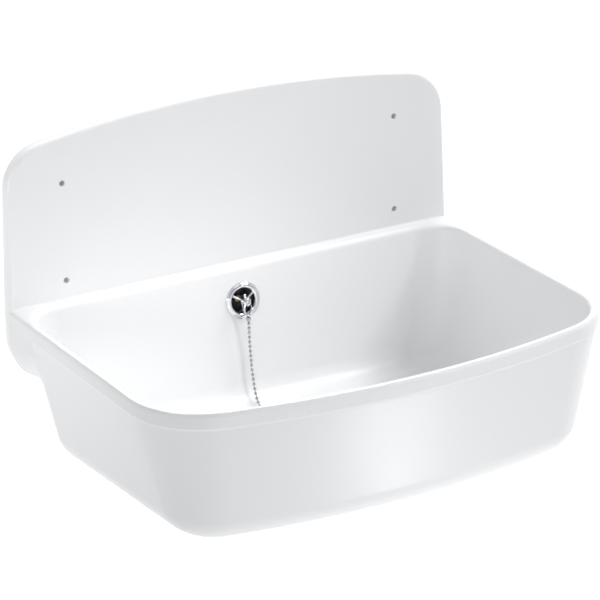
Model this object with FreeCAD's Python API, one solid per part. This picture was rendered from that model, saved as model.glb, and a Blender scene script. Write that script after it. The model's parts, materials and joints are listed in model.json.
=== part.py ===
import FreeCAD, Part
import os
import math
from FreeCAD import Vector as V

# Wall-hung mop service sink: one white moulding (bowl, splash panel and wall tray), overflow fitting with
# pipework behind the bowl, sink waste, rubber plug and ball chain.
# Frame: +X right seen from the front, +Y towards the wall, +Z up. Origin: middle of the four fixing holes,
# on the wall plane. Millimetres.

# ---------------- driving dimensions ----------------
WIDTH = 600.0            # overall width over the rim
PROJ = 440.5             # wall plane to the front of the rim, on the centre line
HOLE_DX = 450.0          # fixing holes, spacing across
HOLE_DZ = 120.0          # fixing holes, spacing up
HOLE_R = 3.4             # fixing hole radius
HOLE_LOW = 23.5          # lower holes above the rim
RIM = -(HOLE_LOW + HOLE_DZ / 2)   # height of the rim in this frame
T_WALL = 5.0             # wall thickness of the moulding
T_FLOOR = 6.0            # floor thickness
T_TRAY = 4.5             # wall thickness of the splash panel and tray
FLANGE_IN = 3.0          # how far the tray's flange leans in by the wall
TRAY_D = 21.5            # depth of the wall tray = panel front face to wall plane
PANEL_TOP = 217.5        # top of the crowned panel above the rim
PANEL_CROWN_R = 1490.0   # radius of the crown
PANEL_CORNER = 57.0      # panel corner radius
PANEL_HALF_TOP = 294.0   # half width of the panel at its shoulder, narrower than at the rim
TRAY_LOW = -95.5         # lower edge of the tray, below the rim
RIM_THICK = 10.0         # rim thickness, full round on top
BAND_H = 17.5            # height of the rim band on the outside
BAND_STEP = 1.7          # small step under the band
BOW_R = 991.0            # plan radius of the bowed front, outside
RC_TOP = 92.0            # front plan corner radius at the rim, outside
RC_BOT = 58.5            # front plan corner radius at the bottom, outside
RB_TOP = 51.0            # rear plan corner radius at the top, outside
RB_BOT = 42.0            # rear plan corner radius at the bottom, outside
SIDE_IN_F = 38.8         # how far each side leans in by the bottom, at the front
SIDE_IN_R = 31.0         # the same at the rear
FRONT_IN = 21.9          # how far the front leans in by the bottom
BACK_TOP_Y = -29.0       # outside of the bowl's back wall near the top
BACK_BOT_Y = -49.5       # the same at the bottom
DEPTH_F = 168.6          # rim to outer bottom at the front
DEPTH_R = 178.8          # rim to outer bottom at the rear
R_BOTTOM = 33.0          # outer bottom edge radius
LEDGE_R = 9.0            # rounded edge from the ledge into the bowl
DRAIN_Y = -132.0         # drain centre
SEAT = -179.0            # seat of the waste in the bowl floor, below the rim
SEAT_T = 6.0             # thickness of the floor under the waste
DISH_R = 49.0            # outer radius of the funnel round the drain
DRAIN_HOLE = 26.0        # radius of the hole in the floor
OVF_H = -44.5            # overflow centre below the rim
OVF_HOLE = 17.0          # radius of the overflow hole
CHAIN_D = 4.0            # ball diameter of the chain
PIVOT_W = 7.0            # link pivot, out from the bowl's back wall
PIN_R = 0.85             # radius of the link's pins
LINK_LEAN = 22.4         # how far the hanging link leans forward of upright, degrees
LINK_LEN = 18.4          # pivot to the tip of the link
PLUG_LIFT = 30.0         # travel of the plug

os.makedirs("parts", exist_ok=True)


def save(name, shape):
    shape.exportStep("parts/%s.step" % name)
    b = shape.BoundBox
    print("%-22s solids %d vol %10.1f valid %s  x %.1f..%.1f y %.1f..%.1f z %.1f..%.1f" % (
        name, len(shape.Solids), shape.Volume, shape.isValid(), b.XMin, b.XMax, b.YMin, b.YMax, b.ZMin, b.ZMax))


def cyl(r, h, base, axis=V(0, 0, 1)):
    return Part.makeCylinder(r, h, base, axis)


def box(x0, x1, y0, y1, z0, z1):
    return Part.makeBox(x1 - x0, y1 - y0, z1 - z0, V(x0, y0, z0))


def revolve_z(points):
    """Solid of revolution about Z from (radius, z) points."""
    w = Part.makePolygon([V(r, 0, z) for r, z in points] + [V(points[0][0], 0, points[0][1])])
    return Part.Face(w).revolve(V(0, 0, 0), V(0, 0, 1), 360)


# ---------------- plan outline of the bowl ----------------
def arc3(c, r, a0, a1):
    am = 0.5 * (a0 + a1)
    return Part.Arc(V(c[0] + r * math.cos(a0), c[1] + r * math.sin(a0), 0),
                    V(c[0] + r * math.cos(am), c[1] + r * math.sin(am), 0),
                    V(c[0] + r * math.cos(a1), c[1] + r * math.sin(a1), 0)).toShape()


def outline(half_f, half_r, y_front, y_back, rc, rb, bow):
    """Closed plan wire at z = 0: bowed front, front corners rc, sides from half_f (front) to half_r (rear),
    rear corners rb, straight back."""
    oy = y_front + bow
    # right side line from (half_f, y_front) to (half_r, y_back)
    dx, dy = half_r - half_f, y_back - y_front
    ln = math.hypot(dx, dy)
    d = (dx / ln, dy / ln)
    n = (-d[1], d[0])              # to the left of d = towards the middle
    # front corner centre: on the line offset by rc, at bow - rc from the bow's centre
    ax, ay = half_f + n[0] * rc, y_front + n[1] * rc
    bx, by = ax, ay - oy
    k = bow - rc
    bq = bx * d[0] + by * d[1]
    cq = bx * bx + by * by - k * k
    s = -bq - math.sqrt(bq * bq - cq)
    fc = (ax + s * d[0], ay + s * d[1])
    if fc[1] > y_front + 3 * rc:
        s = -bq + math.sqrt(bq * bq - cq)
        fc = (ax + s * d[0], ay + s * d[1])
    # tangent points
    t1 = (fc[0] / k * bow, oy + (fc[1] - oy) / k * bow)          # on the bow
    t2 = (fc[0] - n[0] * rc, fc[1] - n[1] * rc)                   # on the side
    # rear corner centre: on the offset line at y_back - rb
    s2 = (y_back - rb - (y_front + n[1] * rb)) / d[1]
    rcx = half_f + n[0] * rb + s2 * d[0]
    rcc = (rcx, y_back - rb)
    t3 = (rcc[0] - n[0] * rb, rcc[1] - n[1] * rb)
    t4 = (rcc[0], y_back)
    a_t1 = math.atan2(t1[1] - fc[1], t1[0] - fc[0])
    a_t2 = math.atan2(t2[1] - fc[1], t2[0] - fc[0])
    a_t3 = math.atan2(t3[1] - rcc[1], t3[0] - rcc[0])
    e = []
    # bow from left to right
    e.append(Part.Arc(V(-t1[0], t1[1], 0), V(0, y_front, 0), V(t1[0], t1[1], 0)).toShape())
    e.append(arc3(fc, rc, a_t1, a_t2))
    e.append(Part.makeLine(V(t2[0], t2[1], 0), V(t3[0], t3[1], 0)))
    e.append(arc3(rcc, rb, a_t3, math.pi / 2))
    e.append(Part.makeLine(V(t4[0], t4[1], 0), V(-t4[0], t4[1], 0)))
    e.append(arc3((-rcc[0], rcc[1]), rb, math.pi / 2, math.pi - a_t3))
    e.append(Part.makeLine(V(-t3[0], t3[1], 0), V(-t2[0], t2[1], 0)))
    e.append(arc3((-fc[0], fc[1]), rc, math.pi - a_t2, math.pi - a_t1))
    return Part.Wire(e)


def placed(w, z, tilt, yref):
    """Lift a plan wire to height z, then tip it by tilt degrees about X through y = yref (rear goes down)."""
    w = w.copy()
    w.translate(V(0, 0, z))
    w.rotate(V(0, yref, z), V(1, 0, 0), tilt)
    return w


TILT = -math.degrees(math.atan2(DEPTH_R - DEPTH_F, PROJ - 22 - 51))
H_MEAN = (DEPTH_F + DEPTH_R) / 2
Y_MID = -(PROJ + 50) / 2
H_STEP = -19.7           # height of the section just under the band


def frac(h):
    return max(0.0, (H_STEP - h) / (H_STEP + H_MEAN))


def back_y(h, inside=True):
    """Y of the bowl's back wall at height h under the rim."""
    y = BACK_TOP_Y + (BACK_BOT_Y - BACK_TOP_Y) * (H_STEP - h) / (H_STEP + H_MEAN)
    return y - T_WALL if inside else y


def ruled(wires):
    return Part.makeLoft(wires, True, True)


def bowl_outside(full=False):
    """Outside of the bowl under the band. With full it goes up to the rim and its back curves forward under the ledge:
    the hollow behind the bowl stops at that surface."""
    w = []

    def back(h):
        if full and h > H_STEP:
            t = (h - H_STEP) / (-3.0 - H_STEP)
            return BACK_TOP_Y + 4.5 * t * t
        return min(back_y(h, False), BACK_TOP_Y)

    def sec(h, e):
        fr = frac(h)
        rc = max(RC_TOP + (RC_BOT - RC_TOP) * fr - 0.8 * e, 12)
        rb = max(RB_TOP + (RB_BOT - RB_TOP) * fr - 0.8 * e, 8)
        return placed(outline(298.3 - SIDE_IN_F * fr - e, 298.3 - SIDE_IN_R * fr - e, -438.6 + FRONT_IN * fr + e,
                              back(h) - e, rc, rb, BOW_R - e), RIM + h, TILT * fr, Y_MID)
    hk = -H_MEAN + R_BOTTOM
    for h in ((0.0, -2.0, -4.5, -7.0, -10.0, -14.0) if full else (-10.0,)) + (H_STEP, H_STEP + (hk - H_STEP) * 0.5, hk):
        w.append(sec(h, 0))
    for i in range(1, 8):
        a = math.pi / 2 * i / 7
        w.append(sec(hk - R_BOTTOM * math.sin(a), R_BOTTOM * (1 - math.cos(a))))
    return ruled(w)


def bowl_inside():
    """The bowl's hollow: flared at the top by the round of the rim and of the ledge, then leaning in to the floor."""
    w = []
    rr = RIM_THICK / 2 - 0.4
    hb = -H_MEAN + T_FLOOR
    r_in = R_BOTTOM - T_WALL

    def flare(R, h):
        return R if h >= 0 else (R - math.sqrt(max(0.0, R * R - (R + h) ** 2)) if h > -R else 0.0)

    def sec(h, e):
        t = max(0.0, -9.0 - h)
        g = t * t / 50.0 if t < 25 else t - 12.5
        fr = frac(h)
        f1, f2 = flare(rr, h), flare(LEDGE_R, h)
        rc = max(RC_TOP - 10 + (RC_BOT - RC_TOP) * fr - 0.8 * e + f1, 10)
        rb = max(46.0 - 7 * fr - 0.8 * e + 0.5 * (f1 + f2), 8)
        return placed(outline(290.0 - 0.25 * g - e + f1, 290.0 - 0.20 * g - e + f1, -430.5 + 0.14 * g + e - f1,
                              back_y(min(h, 0.0)) - e + f2, rc, rb, BOW_R - 10 - e + f1), RIM + h, TILT * fr, Y_MID)
    for h in (30.0, 0.0, -0.35, -1.3, -2.8, -4.6, -6.6, -9.0, -14.0, H_STEP, -27.0, -34.0, -60.0, -100.0):
        w.append(sec(h, 0))
    hk = hb + r_in
    w.append(sec(hk, 0))
    for i in range(1, 8):
        a = math.pi / 2 * i / 7
        w.append(sec(hk - r_in * math.sin(a), r_in * (1 - math.cos(a))))
    return ruled(w)


def rim_band():
    w = []
    rr = RIM_THICK / 2 - 0.4
    for h, e in [(-BAND_H - 2.2, 1.9), (-BAND_H, 0.0), (-rr, 0.0)] + [
            (-rr + rr * math.sin(math.pi / 2 * i / 5), rr * (1 - math.cos(math.pi / 2 * i / 5))) for i in range(1, 6)]:
        o = outline(WIDTH / 2 - e, WIDTH / 2 - e, -PROJ + e, -TRAY_D + 5.0, RC_TOP - e, 1.0, BOW_R - e)
        o.translate(V(0, 0, RIM + h))
        w.append(o)
    return ruled(w)


def tray_outline(inset, z_low, y):
    """Closed wire in the XZ plane at y: crowned top, tapered sides, rounded corners."""
    zt = RIM + PANEL_TOP - inset
    R = PANEL_CROWN_R
    rc = PANEL_CORNER - inset
    half0 = WIDTH / 2 - inset              # at the rim
    half1 = PANEL_HALF_TOP + 1.6 - inset         # at the shoulder
    zsh = RIM + 141.0
    # side line direction, right side, going up
    dx, dz = half1 - half0, zsh - RIM
    ln = math.hypot(dx, dz)
    d = (dx / ln, dz / ln)
    n = (-d[1], d[0])
    # top corner centre: offset line by rc, at R - rc from the crown's centre (0, zt - R)
    oz = zt - R
    ax, az = half0 + n[0] * rc, RIM + n[1] * rc
    bx, bz = ax, az - oz
    k = R - rc
    bq = bx * d[0] + bz * d[1]
    cq = bx * bx + bz * bz - k * k
    s = -bq + math.sqrt(bq * bq - cq)
    c = (ax + s * d[0], az + s * d[1])
    t1 = (c[0] / k * R, oz + (c[1] - oz) / k * R)
    t2 = (c[0] - n[0] * rc, c[1] - n[1] * rc)
    a1 = math.atan2(t1[1] - c[1], t1[0] - c[0])
    a2 = math.atan2(t2[1] - c[1], t2[0] - c[0])
    # below the rim the side is upright, with the same corner radius at the bottom
    zl = RIM + z_low + inset
    cb = (half0 - rc, zl + rc)

    def P(x, z):
        return V(x, y, z)

    def A(c, a0, a1, sx=1):
        am = (a0 + a1) / 2
        return Part.Arc(P(sx * (c[0] + rc * math.cos(a0)), c[1] + rc * math.sin(a0)),
                        P(sx * (c[0] + rc * math.cos(am)), c[1] + rc * math.sin(am)),
                        P(sx * (c[0] + rc * math.cos(a1)), c[1] + rc * math.sin(a1))).toShape()
    e = [Part.Arc(P(-t1[0], t1[1]), P(0, zt), P(t1[0], t1[1])).toShape(),
         A(c, a1, a2),
         Part.makeLine(P(t2[0], t2[1]), P(half0, RIM)),
         Part.makeLine(P(half0, RIM), P(half0, cb[1])),
         A(cb, 0, -math.pi / 2),
         Part.makeLine(P(cb[0], zl), P(-cb[0], zl)),
         A(cb, -math.pi / 2, 0, -1),
         Part.makeLine(P(-half0, cb[1]), P(-half0, RIM)),
         Part.makeLine(P(-half0, RIM), P(-t2[0], t2[1])),
         A(c, a2, a1, -1)]
    return Part.Wire(e)


# ---------------- sink body ----------------
outer = bowl_outside()
outer_full = bowl_outside(True)
inner = bowl_inside()
band = rim_band()


def tray_solid(stations, z_low):
    """Ruled solid through tray outlines; stations are (y, inset)."""
    return ruled([tray_outline(i, z_low, y) for y, i in stations])


r_e = 5.0
round_front = [(-TRAY_D + r_e * (1 - math.sin(math.pi / 2 * i / 5)), r_e * (1 - math.cos(math.pi / 2 * i / 5))) for i in range(5, -1, -1)]
tray = tray_solid(round_front + [(-1.2, FLANGE_IN - 0.2), (0.0, FLANGE_IN + 0.8)], TRAY_LOW)
tray_low = tray_solid([(-75.0, 9.0), (-TRAY_D + 4.0, 0.3)], TRAY_LOW).common(box(-400, 400, -80, 0, RIM - 200, RIM - 0.01))
print("solids", outer.isValid(), inner.isValid(), band.isValid(), tray.isValid(), tray_low.isValid())

# cavity behind the panel and behind the bowl, open to the wall
cav_up = tray_solid([(-TRAY_D + T_TRAY, T_TRAY + 2.0), (-TRAY_D + T_TRAY + 2.0, T_TRAY), (6.0, T_TRAY + FLANGE_IN + 1.0)], TRAY_LOW)
cav_low = tray_solid([(-75.0, 9.0 + T_TRAY), (-TRAY_D + 4.0, 0.3 + T_TRAY), (6.0, T_TRAY + FLANGE_IN + 1.0)], TRAY_LOW).common(
    box(-400, 400, -80, 10, RIM - 300, RIM - T_TRAY))
cav = cav_up.fuse(cav_low).cut(outer_full)
notch = box(-85, 85, -80, 8, RIM + TRAY_LOW - 5, RIM + TRAY_LOW + 20).cut(outer_full)   # room for the overflow pipe

solid = outer.fuse(band).fuse(tray).fuse(tray_low)
print("outside", solid.isValid(), len(solid.Solids))
# boss under the floor at the drain, and the funnel down to the seat of the waste
boss = revolve_z([(0, SEAT - SEAT_T), (44.0, SEAT - SEAT_T), (44.0, SEAT - 4.5), (53.0, SEAT + 5.5), (0, SEAT + 5.5)])
boss.translate(V(0, DRAIN_Y, RIM))
solid = solid.fuse(boss)
body = solid.cut(cav)
body = body.cut(notch)
body = body.cut(inner)
print("hollowed", body.isValid(), len(body.Solids))
dish = revolve_z([(0, SEAT), (38.0, SEAT), (38.0, SEAT + 0.8), (DISH_R, SEAT + 9.5), (DISH_R, SEAT + 30), (0, SEAT + 30)])
dish.translate(V(0, DRAIN_Y, RIM))
body = body.cut(dish)
body = body.cut(cyl(DRAIN_HOLE, 40.0, V(0, DRAIN_Y, RIM + SEAT - 20)))
print("drain", body.isValid(), len(body.Solids))

# overflow frame: x across, u up along the back wall, w out of the wall into the bowl
def back_point(h, inside):
    """Where the section at h really stands on the back wall, after its tilt."""
    th = math.radians(TILT * frac(h))
    d = back_y(h, inside) - Y_MID
    return (Y_MID + d * math.cos(th), RIM + h + d * math.sin(th))


pa, pb = back_point(-34.0, True), back_point(-60.0, True)
BETA = math.atan2(pa[0] - pb[0], pa[1] - pb[1])
OVF_Y = pa[0] - (pa[1] - (RIM + OVF_H)) * math.tan(BETA)
OVF = FreeCAD.Placement(V(0, OVF_Y, RIM + OVF_H), FreeCAD.Rotation(
    V(1, 0, 0), V(0, math.sin(BETA), math.cos(BETA)), V(0, -math.cos(BETA), math.sin(BETA)), "ZXY"))


def ovf(shape):
    s = shape.copy()
    s.Placement = OVF.multiply(s.Placement)
    return s


def ovf_pt(x, u, w):
    return OVF.multVec(V(x, u, w))


print("overflow frame", ovf_pt(0, 0, 0), "u", OVF.Rotation.multVec(V(0, 1, 0)), "w", OVF.Rotation.multVec(V(0, 0, 1)))
body = body.cut(ovf(cyl(OVF_HOLE, 20.0, V(0, 0, -14))))
# pad round the overflow hole on the back, and bosses for the four fixing holes
bosses = []
for sx in (-1, 1):
    for sz in (-1, 1):
        bosses.append(cyl(9.0, TRAY_D - 1.0, V(sx * HOLE_DX / 2, -TRAY_D + 1.0, sz * HOLE_DZ / 2), V(0, 1, 0)))
# upright ribs that stiffen the panel behind, clear of the holes
for x in (-150.0, 150.0):
    bosses.append(box(x - 1.5, x + 1.5, -TRAY_D + 1.0, -2.0, RIM + 8, RIM + 196))
body = body.fuse(bosses)
for sx in (-1, 1):
    for sz in (-1, 1):
        body = body.cut(cyl(HOLE_R, 60.0, V(sx * HOLE_DX / 2, -40, sz * HOLE_DZ / 2), V(0, 1, 0)))
body = body.removeSplitter()


if len(body.Solids) == 1:
    body = body.Solids[0]
save("sink_body", body)

# ---------------- overflow fitting, on the bowl's back wall ----------------
# rosette: flanged ring with a skirt through the wall, three spokes rising to a hub, stop tab over the hub
ring = revolve_z([(23.0, 0.05), (23.0, 0.9), (22.6, 1.3), (22.0, 1.45), (21.5, 1.35), (21.1, 1.7), (20.4, 2.5), (19.3, 3.05),
                  (18.0, 3.1), (16.9, 2.6), (15.9, 1.5), (15.6, 0.4), (15.6, -6.0), (16.7, -6.0), (16.7, 0.05)])
hub = revolve_z([(0, 1.6), (4.8, 1.6), (4.8, 8.9), (3.6, 10.6), (0, 10.6)])
tab = box(-1.5, 1.5, 3.0, 7.4, 3.2, 7.4).fuse(cyl(2.1, 3.0, V(-1.5, 7.0, 5.3), V(1, 0, 0)))
spokes = []
for a in (90 + 60, 90 - 60, 270):
    # slope up from the ring to the hub
    pts = [V(3.0, -1.15, 2.4), V(3.0, -1.15, 5.0), V(16.4, -1.15, 2.0), V(16.4, -1.15, -0.6 + 0.4)]
    f = Part.Face(Part.makePolygon(pts + [pts[0]]))
    sp = f.extrude(V(0, 2.3, 0))
    sp.rotate(V(0, 0, 0), V(0, 0, 1), a)
    spokes.append(sp)
rosette = ring.fuse([hub, tab] + spokes)
rosette = rosette.cut(cyl(2.45, 24, V(0, 0, -8)))
for sx in (-1, 1):
    rosette = rosette.cut(cyl(PIN_R + 0.08, 4.0, V(sx * 3.1, 0, PIVOT_W), V(sx, 0, 0)))
rosette = rosette.removeSplitter()
save("overflow_rosette", ovf(rosette))

# screw: pan head with a cross recess, shank down to the insert in the elbow
head = revolve_z([(0, 10.6), (4.9, 10.6), (4.9, 11.7), (4.6, 12.7), (3.7, 13.6), (2.3, 14.1), (0, 14.3)])
shank = cyl(2.3, 37.4, V(0, 0, -26.0))
scr = head.fuse(shank)
scr = scr.cut(box(-2.7, 2.7, -0.55, 0.55, 12.4, 15)).cut(box(-0.55, 0.55, -2.7, 2.7, 12.4, 15))
save("overflow_screw", ovf(scr))

# gasket between the wall and the elbow's flange
WG = -T_WALL - 0.1
gk = cyl(25.0, 2.5, V(0, 0, WG - 2.5)).cut(cyl(17.3, 6, V(0, 0, WG - 4)))
save("overflow_gasket", ovf(gk))

# elbow: flange, cup, spigot pointing straight down, boss with webs for the screw
W0 = WG - 2.5
CUP_R = 16.3
el_out = cyl(25.0, 3.0, V(0, 0, W0 - 3.0)).fuse(cyl(CUP_R + 2.4, 21.0, V(0, 0, W0 - 21.0)))
el_out = ovf(el_out)
SPIG_Y = ovf_pt(0, 0, W0 - 12.5).y
SPIG_TOP = RIM + OVF_H
SPIG_LEN = 42.0
spig = cyl(9.0, SPIG_LEN, V(0, SPIG_Y, SPIG_TOP - SPIG_LEN))
elbow = el_out.fuse(spig)
elbow = elbow.cut(ovf(cyl(CUP_R, 18.6 + 10, V(0, 0, W0 - 18.6))))
elbow = elbow.cut(cyl(7.2, SPIG_LEN + 2, V(0, SPIG_Y, SPIG_TOP - SPIG_LEN - 2)))
web = ovf(cyl(4.8, 15.5, V(0, 0, W0 - 20.0)).fuse([box(-CUP_R - 0.3, CUP_R + 0.3, -1.0, 1.0, W0 - 20.0, W0 - 10)]))
web = web.cut(cyl(7.2, SPIG_LEN - 6, V(0, SPIG_Y, SPIG_TOP - SPIG_LEN - 2)))
elbow = elbow.fuse(web)
elbow = elbow.cut(ovf(cyl(3.4, 12.0, V(0, 0, W0 - 16.5))))
elbow = elbow.cut(ovf(cyl(2.6, 12.0, V(0, 0, W0 - 25.0))))
elbow = elbow.removeSplitter()
save("overflow_elbow", elbow)
ins = cyl(3.4, 12.0, V(0, 0, W0 - 16.5)).cut(cyl(2.3, 14.0, V(0, 0, W0 - 17.0)))
save("overflow_insert", ovf(ins))

# ---------------- overflow pipe, behind the bowl ----------------
HOSE_R = 9.6
HOSE_TOP = SPIG_TOP - 30.0
IN_H = RIM - 208.0                      # height of the waste's side inlet
IN_END = DRAIN_Y + 52.0                 # open end of the inlet, towards the wall
BEND = 38.0
p0 = V(0, SPIG_Y, HOSE_TOP)
p1 = V(0, SPIG_Y, IN_H + BEND)
p2 = V(0, SPIG_Y - BEND, IN_H)
p3 = V(0, IN_END - 14.0, IN_H)
s45 = BEND * math.sin(math.pi / 4)
pm = V(0, SPIG_Y - BEND + s45, IN_H + BEND - s45)
path = Part.Wire([Part.LineSegment(p0, p1).toShape(), Part.Arc(p1, pm, p2).toShape(), Part.LineSegment(p2, p3).toShape()])


def tube(path_wire, start, direction, r):
    c = Part.Wire(Part.makeCircle(r, start, direction))
    return path_wire.makePipeShell([c], True, True)


hose = tube(path, p0, V(0, 0, -1), 11.4).cut(tube(path, p0, V(0, 0, -1), HOSE_R))
hlen = path.Length
print("hose length %.1f, bend radius %.0f, volume %.0f against %.0f" % (
    hlen, BEND, hose.Volume, math.pi * (11.4 ** 2 - HOSE_R ** 2) * hlen))
save("overflow_hose", hose)


# clamping collars and seals at both ends of the pipe
col_u = cyl(14.2, 12.0, V(0, SPIG_Y, HOSE_TOP - 12.0)).cut(cyl(11.4, 14.0, V(0, SPIG_Y, HOSE_TOP - 13.0)))
save("hose_collar_upper", col_u)
seal_u = cyl(HOSE_R, 9.0, V(0, SPIG_Y, HOSE_TOP - 11.0)).cut(cyl(9.0, 12, V(0, SPIG_Y, HOSE_TOP - 12.0)))
save("hose_seal_upper", seal_u)
col_l = cyl(14.2, 12.0, V(0, p3.y, IN_H), V(0, 1, 0)).cut(cyl(11.4, 14.0, V(0, p3.y - 1, IN_H), V(0, 1, 0)))
save("hose_collar_lower", col_l)
seal_l = cyl(HOSE_R, 9.0, V(0, p3.y + 2.0, IN_H), V(0, 1, 0)).cut(cyl(9.0, 12, V(0, p3.y, IN_H), V(0, 1, 0)))
save("hose_seal_lower", seal_l)

# ---------------- sink waste ----------------
S = RIM + SEAT


def at_drain(s):
    s = s.copy()
    s.translate(V(0, DRAIN_Y, S))
    return s


# strainer: flange 70 mm, tapered socket for the plug, perforated bottom
st = revolve_z([(35.0, 1.5), (34.6, 2.2), (33.4, 2.7), (30.0, 2.9), (25.5, 2.6), (23.8, 1.8), (22.4, -11.0), (7.0, -12.2), (0.0, -12.2),
                (0.0, -13.4), (23.0, -13.4), (24.6, 0.9), (26.2, 1.5)])
for k, (rr, cnt, hr) in enumerate(((8.6, 8, 1.9), (14.2, 12, 2.2), (19.0, 16, 1.9))):
    for i in range(cnt):
        a = 2 * math.pi * (i + 0.5 * (k % 2)) / cnt
        st = st.cut(cyl(hr, 6, V(rr * math.cos(a), rr * math.sin(a), -16)))
st = st.cut(cyl(3.1, 8, V(0, 0, -17)))
save("waste_strainer", at_drain(st))
wsh = revolve_z([(0, -12.2), (5.6, -12.2), (5.6, -11.0), (4.6, -9.6), (0, -9.2)]).fuse(cyl(2.9, 26.0, V(0, 0, -38.0)))
wsh = wsh.cut(box(-4.0, 4.0, -0.6, 0.6, -10.6, -8))
save("waste_screw", at_drain(wsh))
tg = cyl(33.5, 1.5, V(0, 0, 0)).cut(cyl(26.5, 3, V(0, 0, -1)))
save("waste_top_gasket", at_drain(tg))
bg = cyl(38.0, 3.0, V(0, 0, -SEAT_T - 3.0)).cut(cyl(27.0, 6, V(0, 0, -SEAT_T - 4.0)))
save("waste_bottom_gasket", at_drain(bg))
# body: cup under the floor, side inlet for the overflow, outlet with a 1 1/2 inch thread (plain cylinder on its crest)
B0 = -SEAT_T - 3.0
OUT_R = 23.9
wb = cyl(38.0, 4.0, V(0, 0, B0 - 4.0)).fuse(cyl(30.0, 38.0, V(0, 0, B0 - 38.0)))
wb = wb.fuse(Part.makeCone(21.0, 30.0, 8.0, V(0, 0, B0 - 46.0)))
wb = wb.fuse(cyl(OUT_R, 32.0, V(0, 0, B0 - 46.0 - 26.0)))
inlet = cyl(9.0, 52.0, V(0, 0, IN_H - S), V(0, 1, 0))
wb = wb.fuse([inlet, cyl(12.0, 34.0, V(0, 0, IN_H - S), V(0, 1, 0))])
wb = wb.cut(cyl(27.0, 38.5, V(0, 0, B0 - 38.0)))
wb = wb.cut(Part.makeCone(18.5, 27.0, 8.0, V(0, 0, B0 - 46.0)))
wb = wb.cut(cyl(20.0, 40.0, V(0, 0, B0 - 46.0 - 27.0)))
wb = wb.cut(cyl(7.2, 60.0, V(0, 2.0, IN_H - S), V(0, 1, 0)))
# boss on three webs that takes the screw
webs = [cyl(6.5, 18.0, V(0, 0, B0 - 34.0))]
for a in (30, 150, 270):
    w = box(0, 27.6, -1.2, 1.2, B0 - 33.0, B0 - 19.0)
    w.rotate(V(0, 0, 0), V(0, 0, 1), a)
    webs.append(w)
wb = wb.fuse(webs)
wb = wb.cut(cyl(4.2, 16.0, V(0, 0, B0 - 32.0)))
wb = wb.removeSplitter()
save("waste_body", at_drain(wb))
wi = cyl(4.2, 16.0, V(0, 0, B0 - 32.0)).cut(cyl(2.9, 18.0, V(0, 0, B0 - 33.0)))
save("waste_insert", at_drain(wi))

# ---------------- plug ----------------
GAP = 0.3
pl = revolve_z([(0, -9.6), (22.2 - GAP, -9.6), (23.5 - GAP, 1.9), (25.2, 2.9), (25.2, 4.6), (24.2, 5.8), (20.0, 6.4), (8.0, 6.8), (7.0, 8.2), (0, 8.4)])
pl = pl.cut(cyl(6.6, 5.0, V(0, 0, -10.0)))
pl = pl.cut(cyl(1.6, 12.0, V(0, 0, -1.0)))
save("drain_plug", at_drain(pl))
EYE_H = 12.6
EYE_R = 3.6
eye = Part.makeTorus(EYE_R, 1.0, V(0, 0, EYE_H), V(1, 0, 0))
stem = cyl(1.6, EYE_H - EYE_R - 0.2 + 1.0, V(0, 0, -1.0))
save("plug_eyelet", at_drain(eye.fuse(stem).removeSplitter()))
# ring through the eyelet, standing across it, leaning to the back
RING_R = 4.6
rc_y, rc_z = EYE_R + 0.0 + RING_R - 1.9, EYE_H + 1.2
ringp = Part.makeTorus(RING_R, 0.7, V(0, rc_y, rc_z), V(0, -0.26, 0.966))
save("plug_ring", at_drain(ringp))

# ---------------- chain ----------------
# link: a flat strap bent to a V, its two eyes pinned to the sides of the rosette's hub
def rounded(points, radii):
    """Closed wire in the XY plane through the points, each corner rounded with its radius."""
    n = len(points)
    edges, last = [], None
    first = None
    for i in range(n):
        a, b, c = V(*points[i - 1], 0), V(*points[i], 0), V(*points[(i + 1) % n], 0)
        u1, u2 = (a - b).normalize(), (c - b).normalize()
        half = math.acos(max(-1, min(1, u1.dot(u2)))) / 2
        t = radii[i] / math.tan(half)
        cen = b + (u1 + u2).normalize() * (radii[i] / math.sin(half))
        p, q = b + u1 * t, b + u2 * t
        if last is not None:
            edges.append(Part.LineSegment(last, p).toShape())
        else:
            first = p
        edges.append(Part.Arc(p, cen + (b - cen).normalize() * radii[i], q).toShape())
        last = q
    edges.append(Part.LineSegment(last, first).toShape())
    return Part.Wire(edges)


piv = ovf_pt(0, 0, PIVOT_W)
print("link pivot", piv)
LEAN = math.radians(LINK_LEAN)
ld = V(0, -math.sin(LEAN), -math.cos(LEAN))      # direction down along the link
ARM_IN, ARM_T, ARM_W = 5.3, 0.9, 3.4
ai, ao = ARM_IN, ARM_IN + ARM_T
# outline drawn with X across and Y down the link from the pivot
wo = rounded([(-ao, -1.0), (ao, -1.0), (ao, 8.6), (0, LINK_LEN + 1.5), (-ao, 8.6)], [0.2, 0.2, 3.6, 2.2, 3.6])
wi = rounded([(-ai, -3.0), (ai, -3.0), (ai, 8.4), (0, LINK_LEN - 0.15), (-ai, 8.4)], [0.2, 0.2, 2.7, 1.3, 2.7])
strap = Part.Face(wo).extrude(V(0, 0, ARM_W)).cut(Part.Face(wi).extrude(V(0, 0, ARM_W)))
strap.translate(V(0, 0, -ARM_W / 2))
strap = strap.cut(box(-20, 20, -5, 0, -5, 5))
link_bits = []
for sx in (-1, 1):
    link_bits.append(cyl(2.3, ARM_T, V(sx * ARM_IN, 0, 0), V(sx, 0, 0)))
    link_bits.append(cyl(PIN_R, ARM_IN - 3.2 + 0.4, V(sx * 3.2, 0, 0), V(sx, 0, 0)))
link = strap.fuse(link_bits).removeSplitter()
# local X stays across, local Y becomes the direction down the link
link.Placement = FreeCAD.Placement(piv, FreeCAD.Rotation(V(1, 0, 0), ld, V(1, 0, 0).cross(ld), "XYZ"))
save("chain_link", link)
apex = piv + ld * LINK_LEN
# upper end cap of the chain: a small bell clenched on the tip of the link
CH_TOP = V(0, apex.y + 0.1, apex.z - 6.1)        # where the chain leaves the bell
print("apex", apex, "chain top", CH_TOP)


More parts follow.
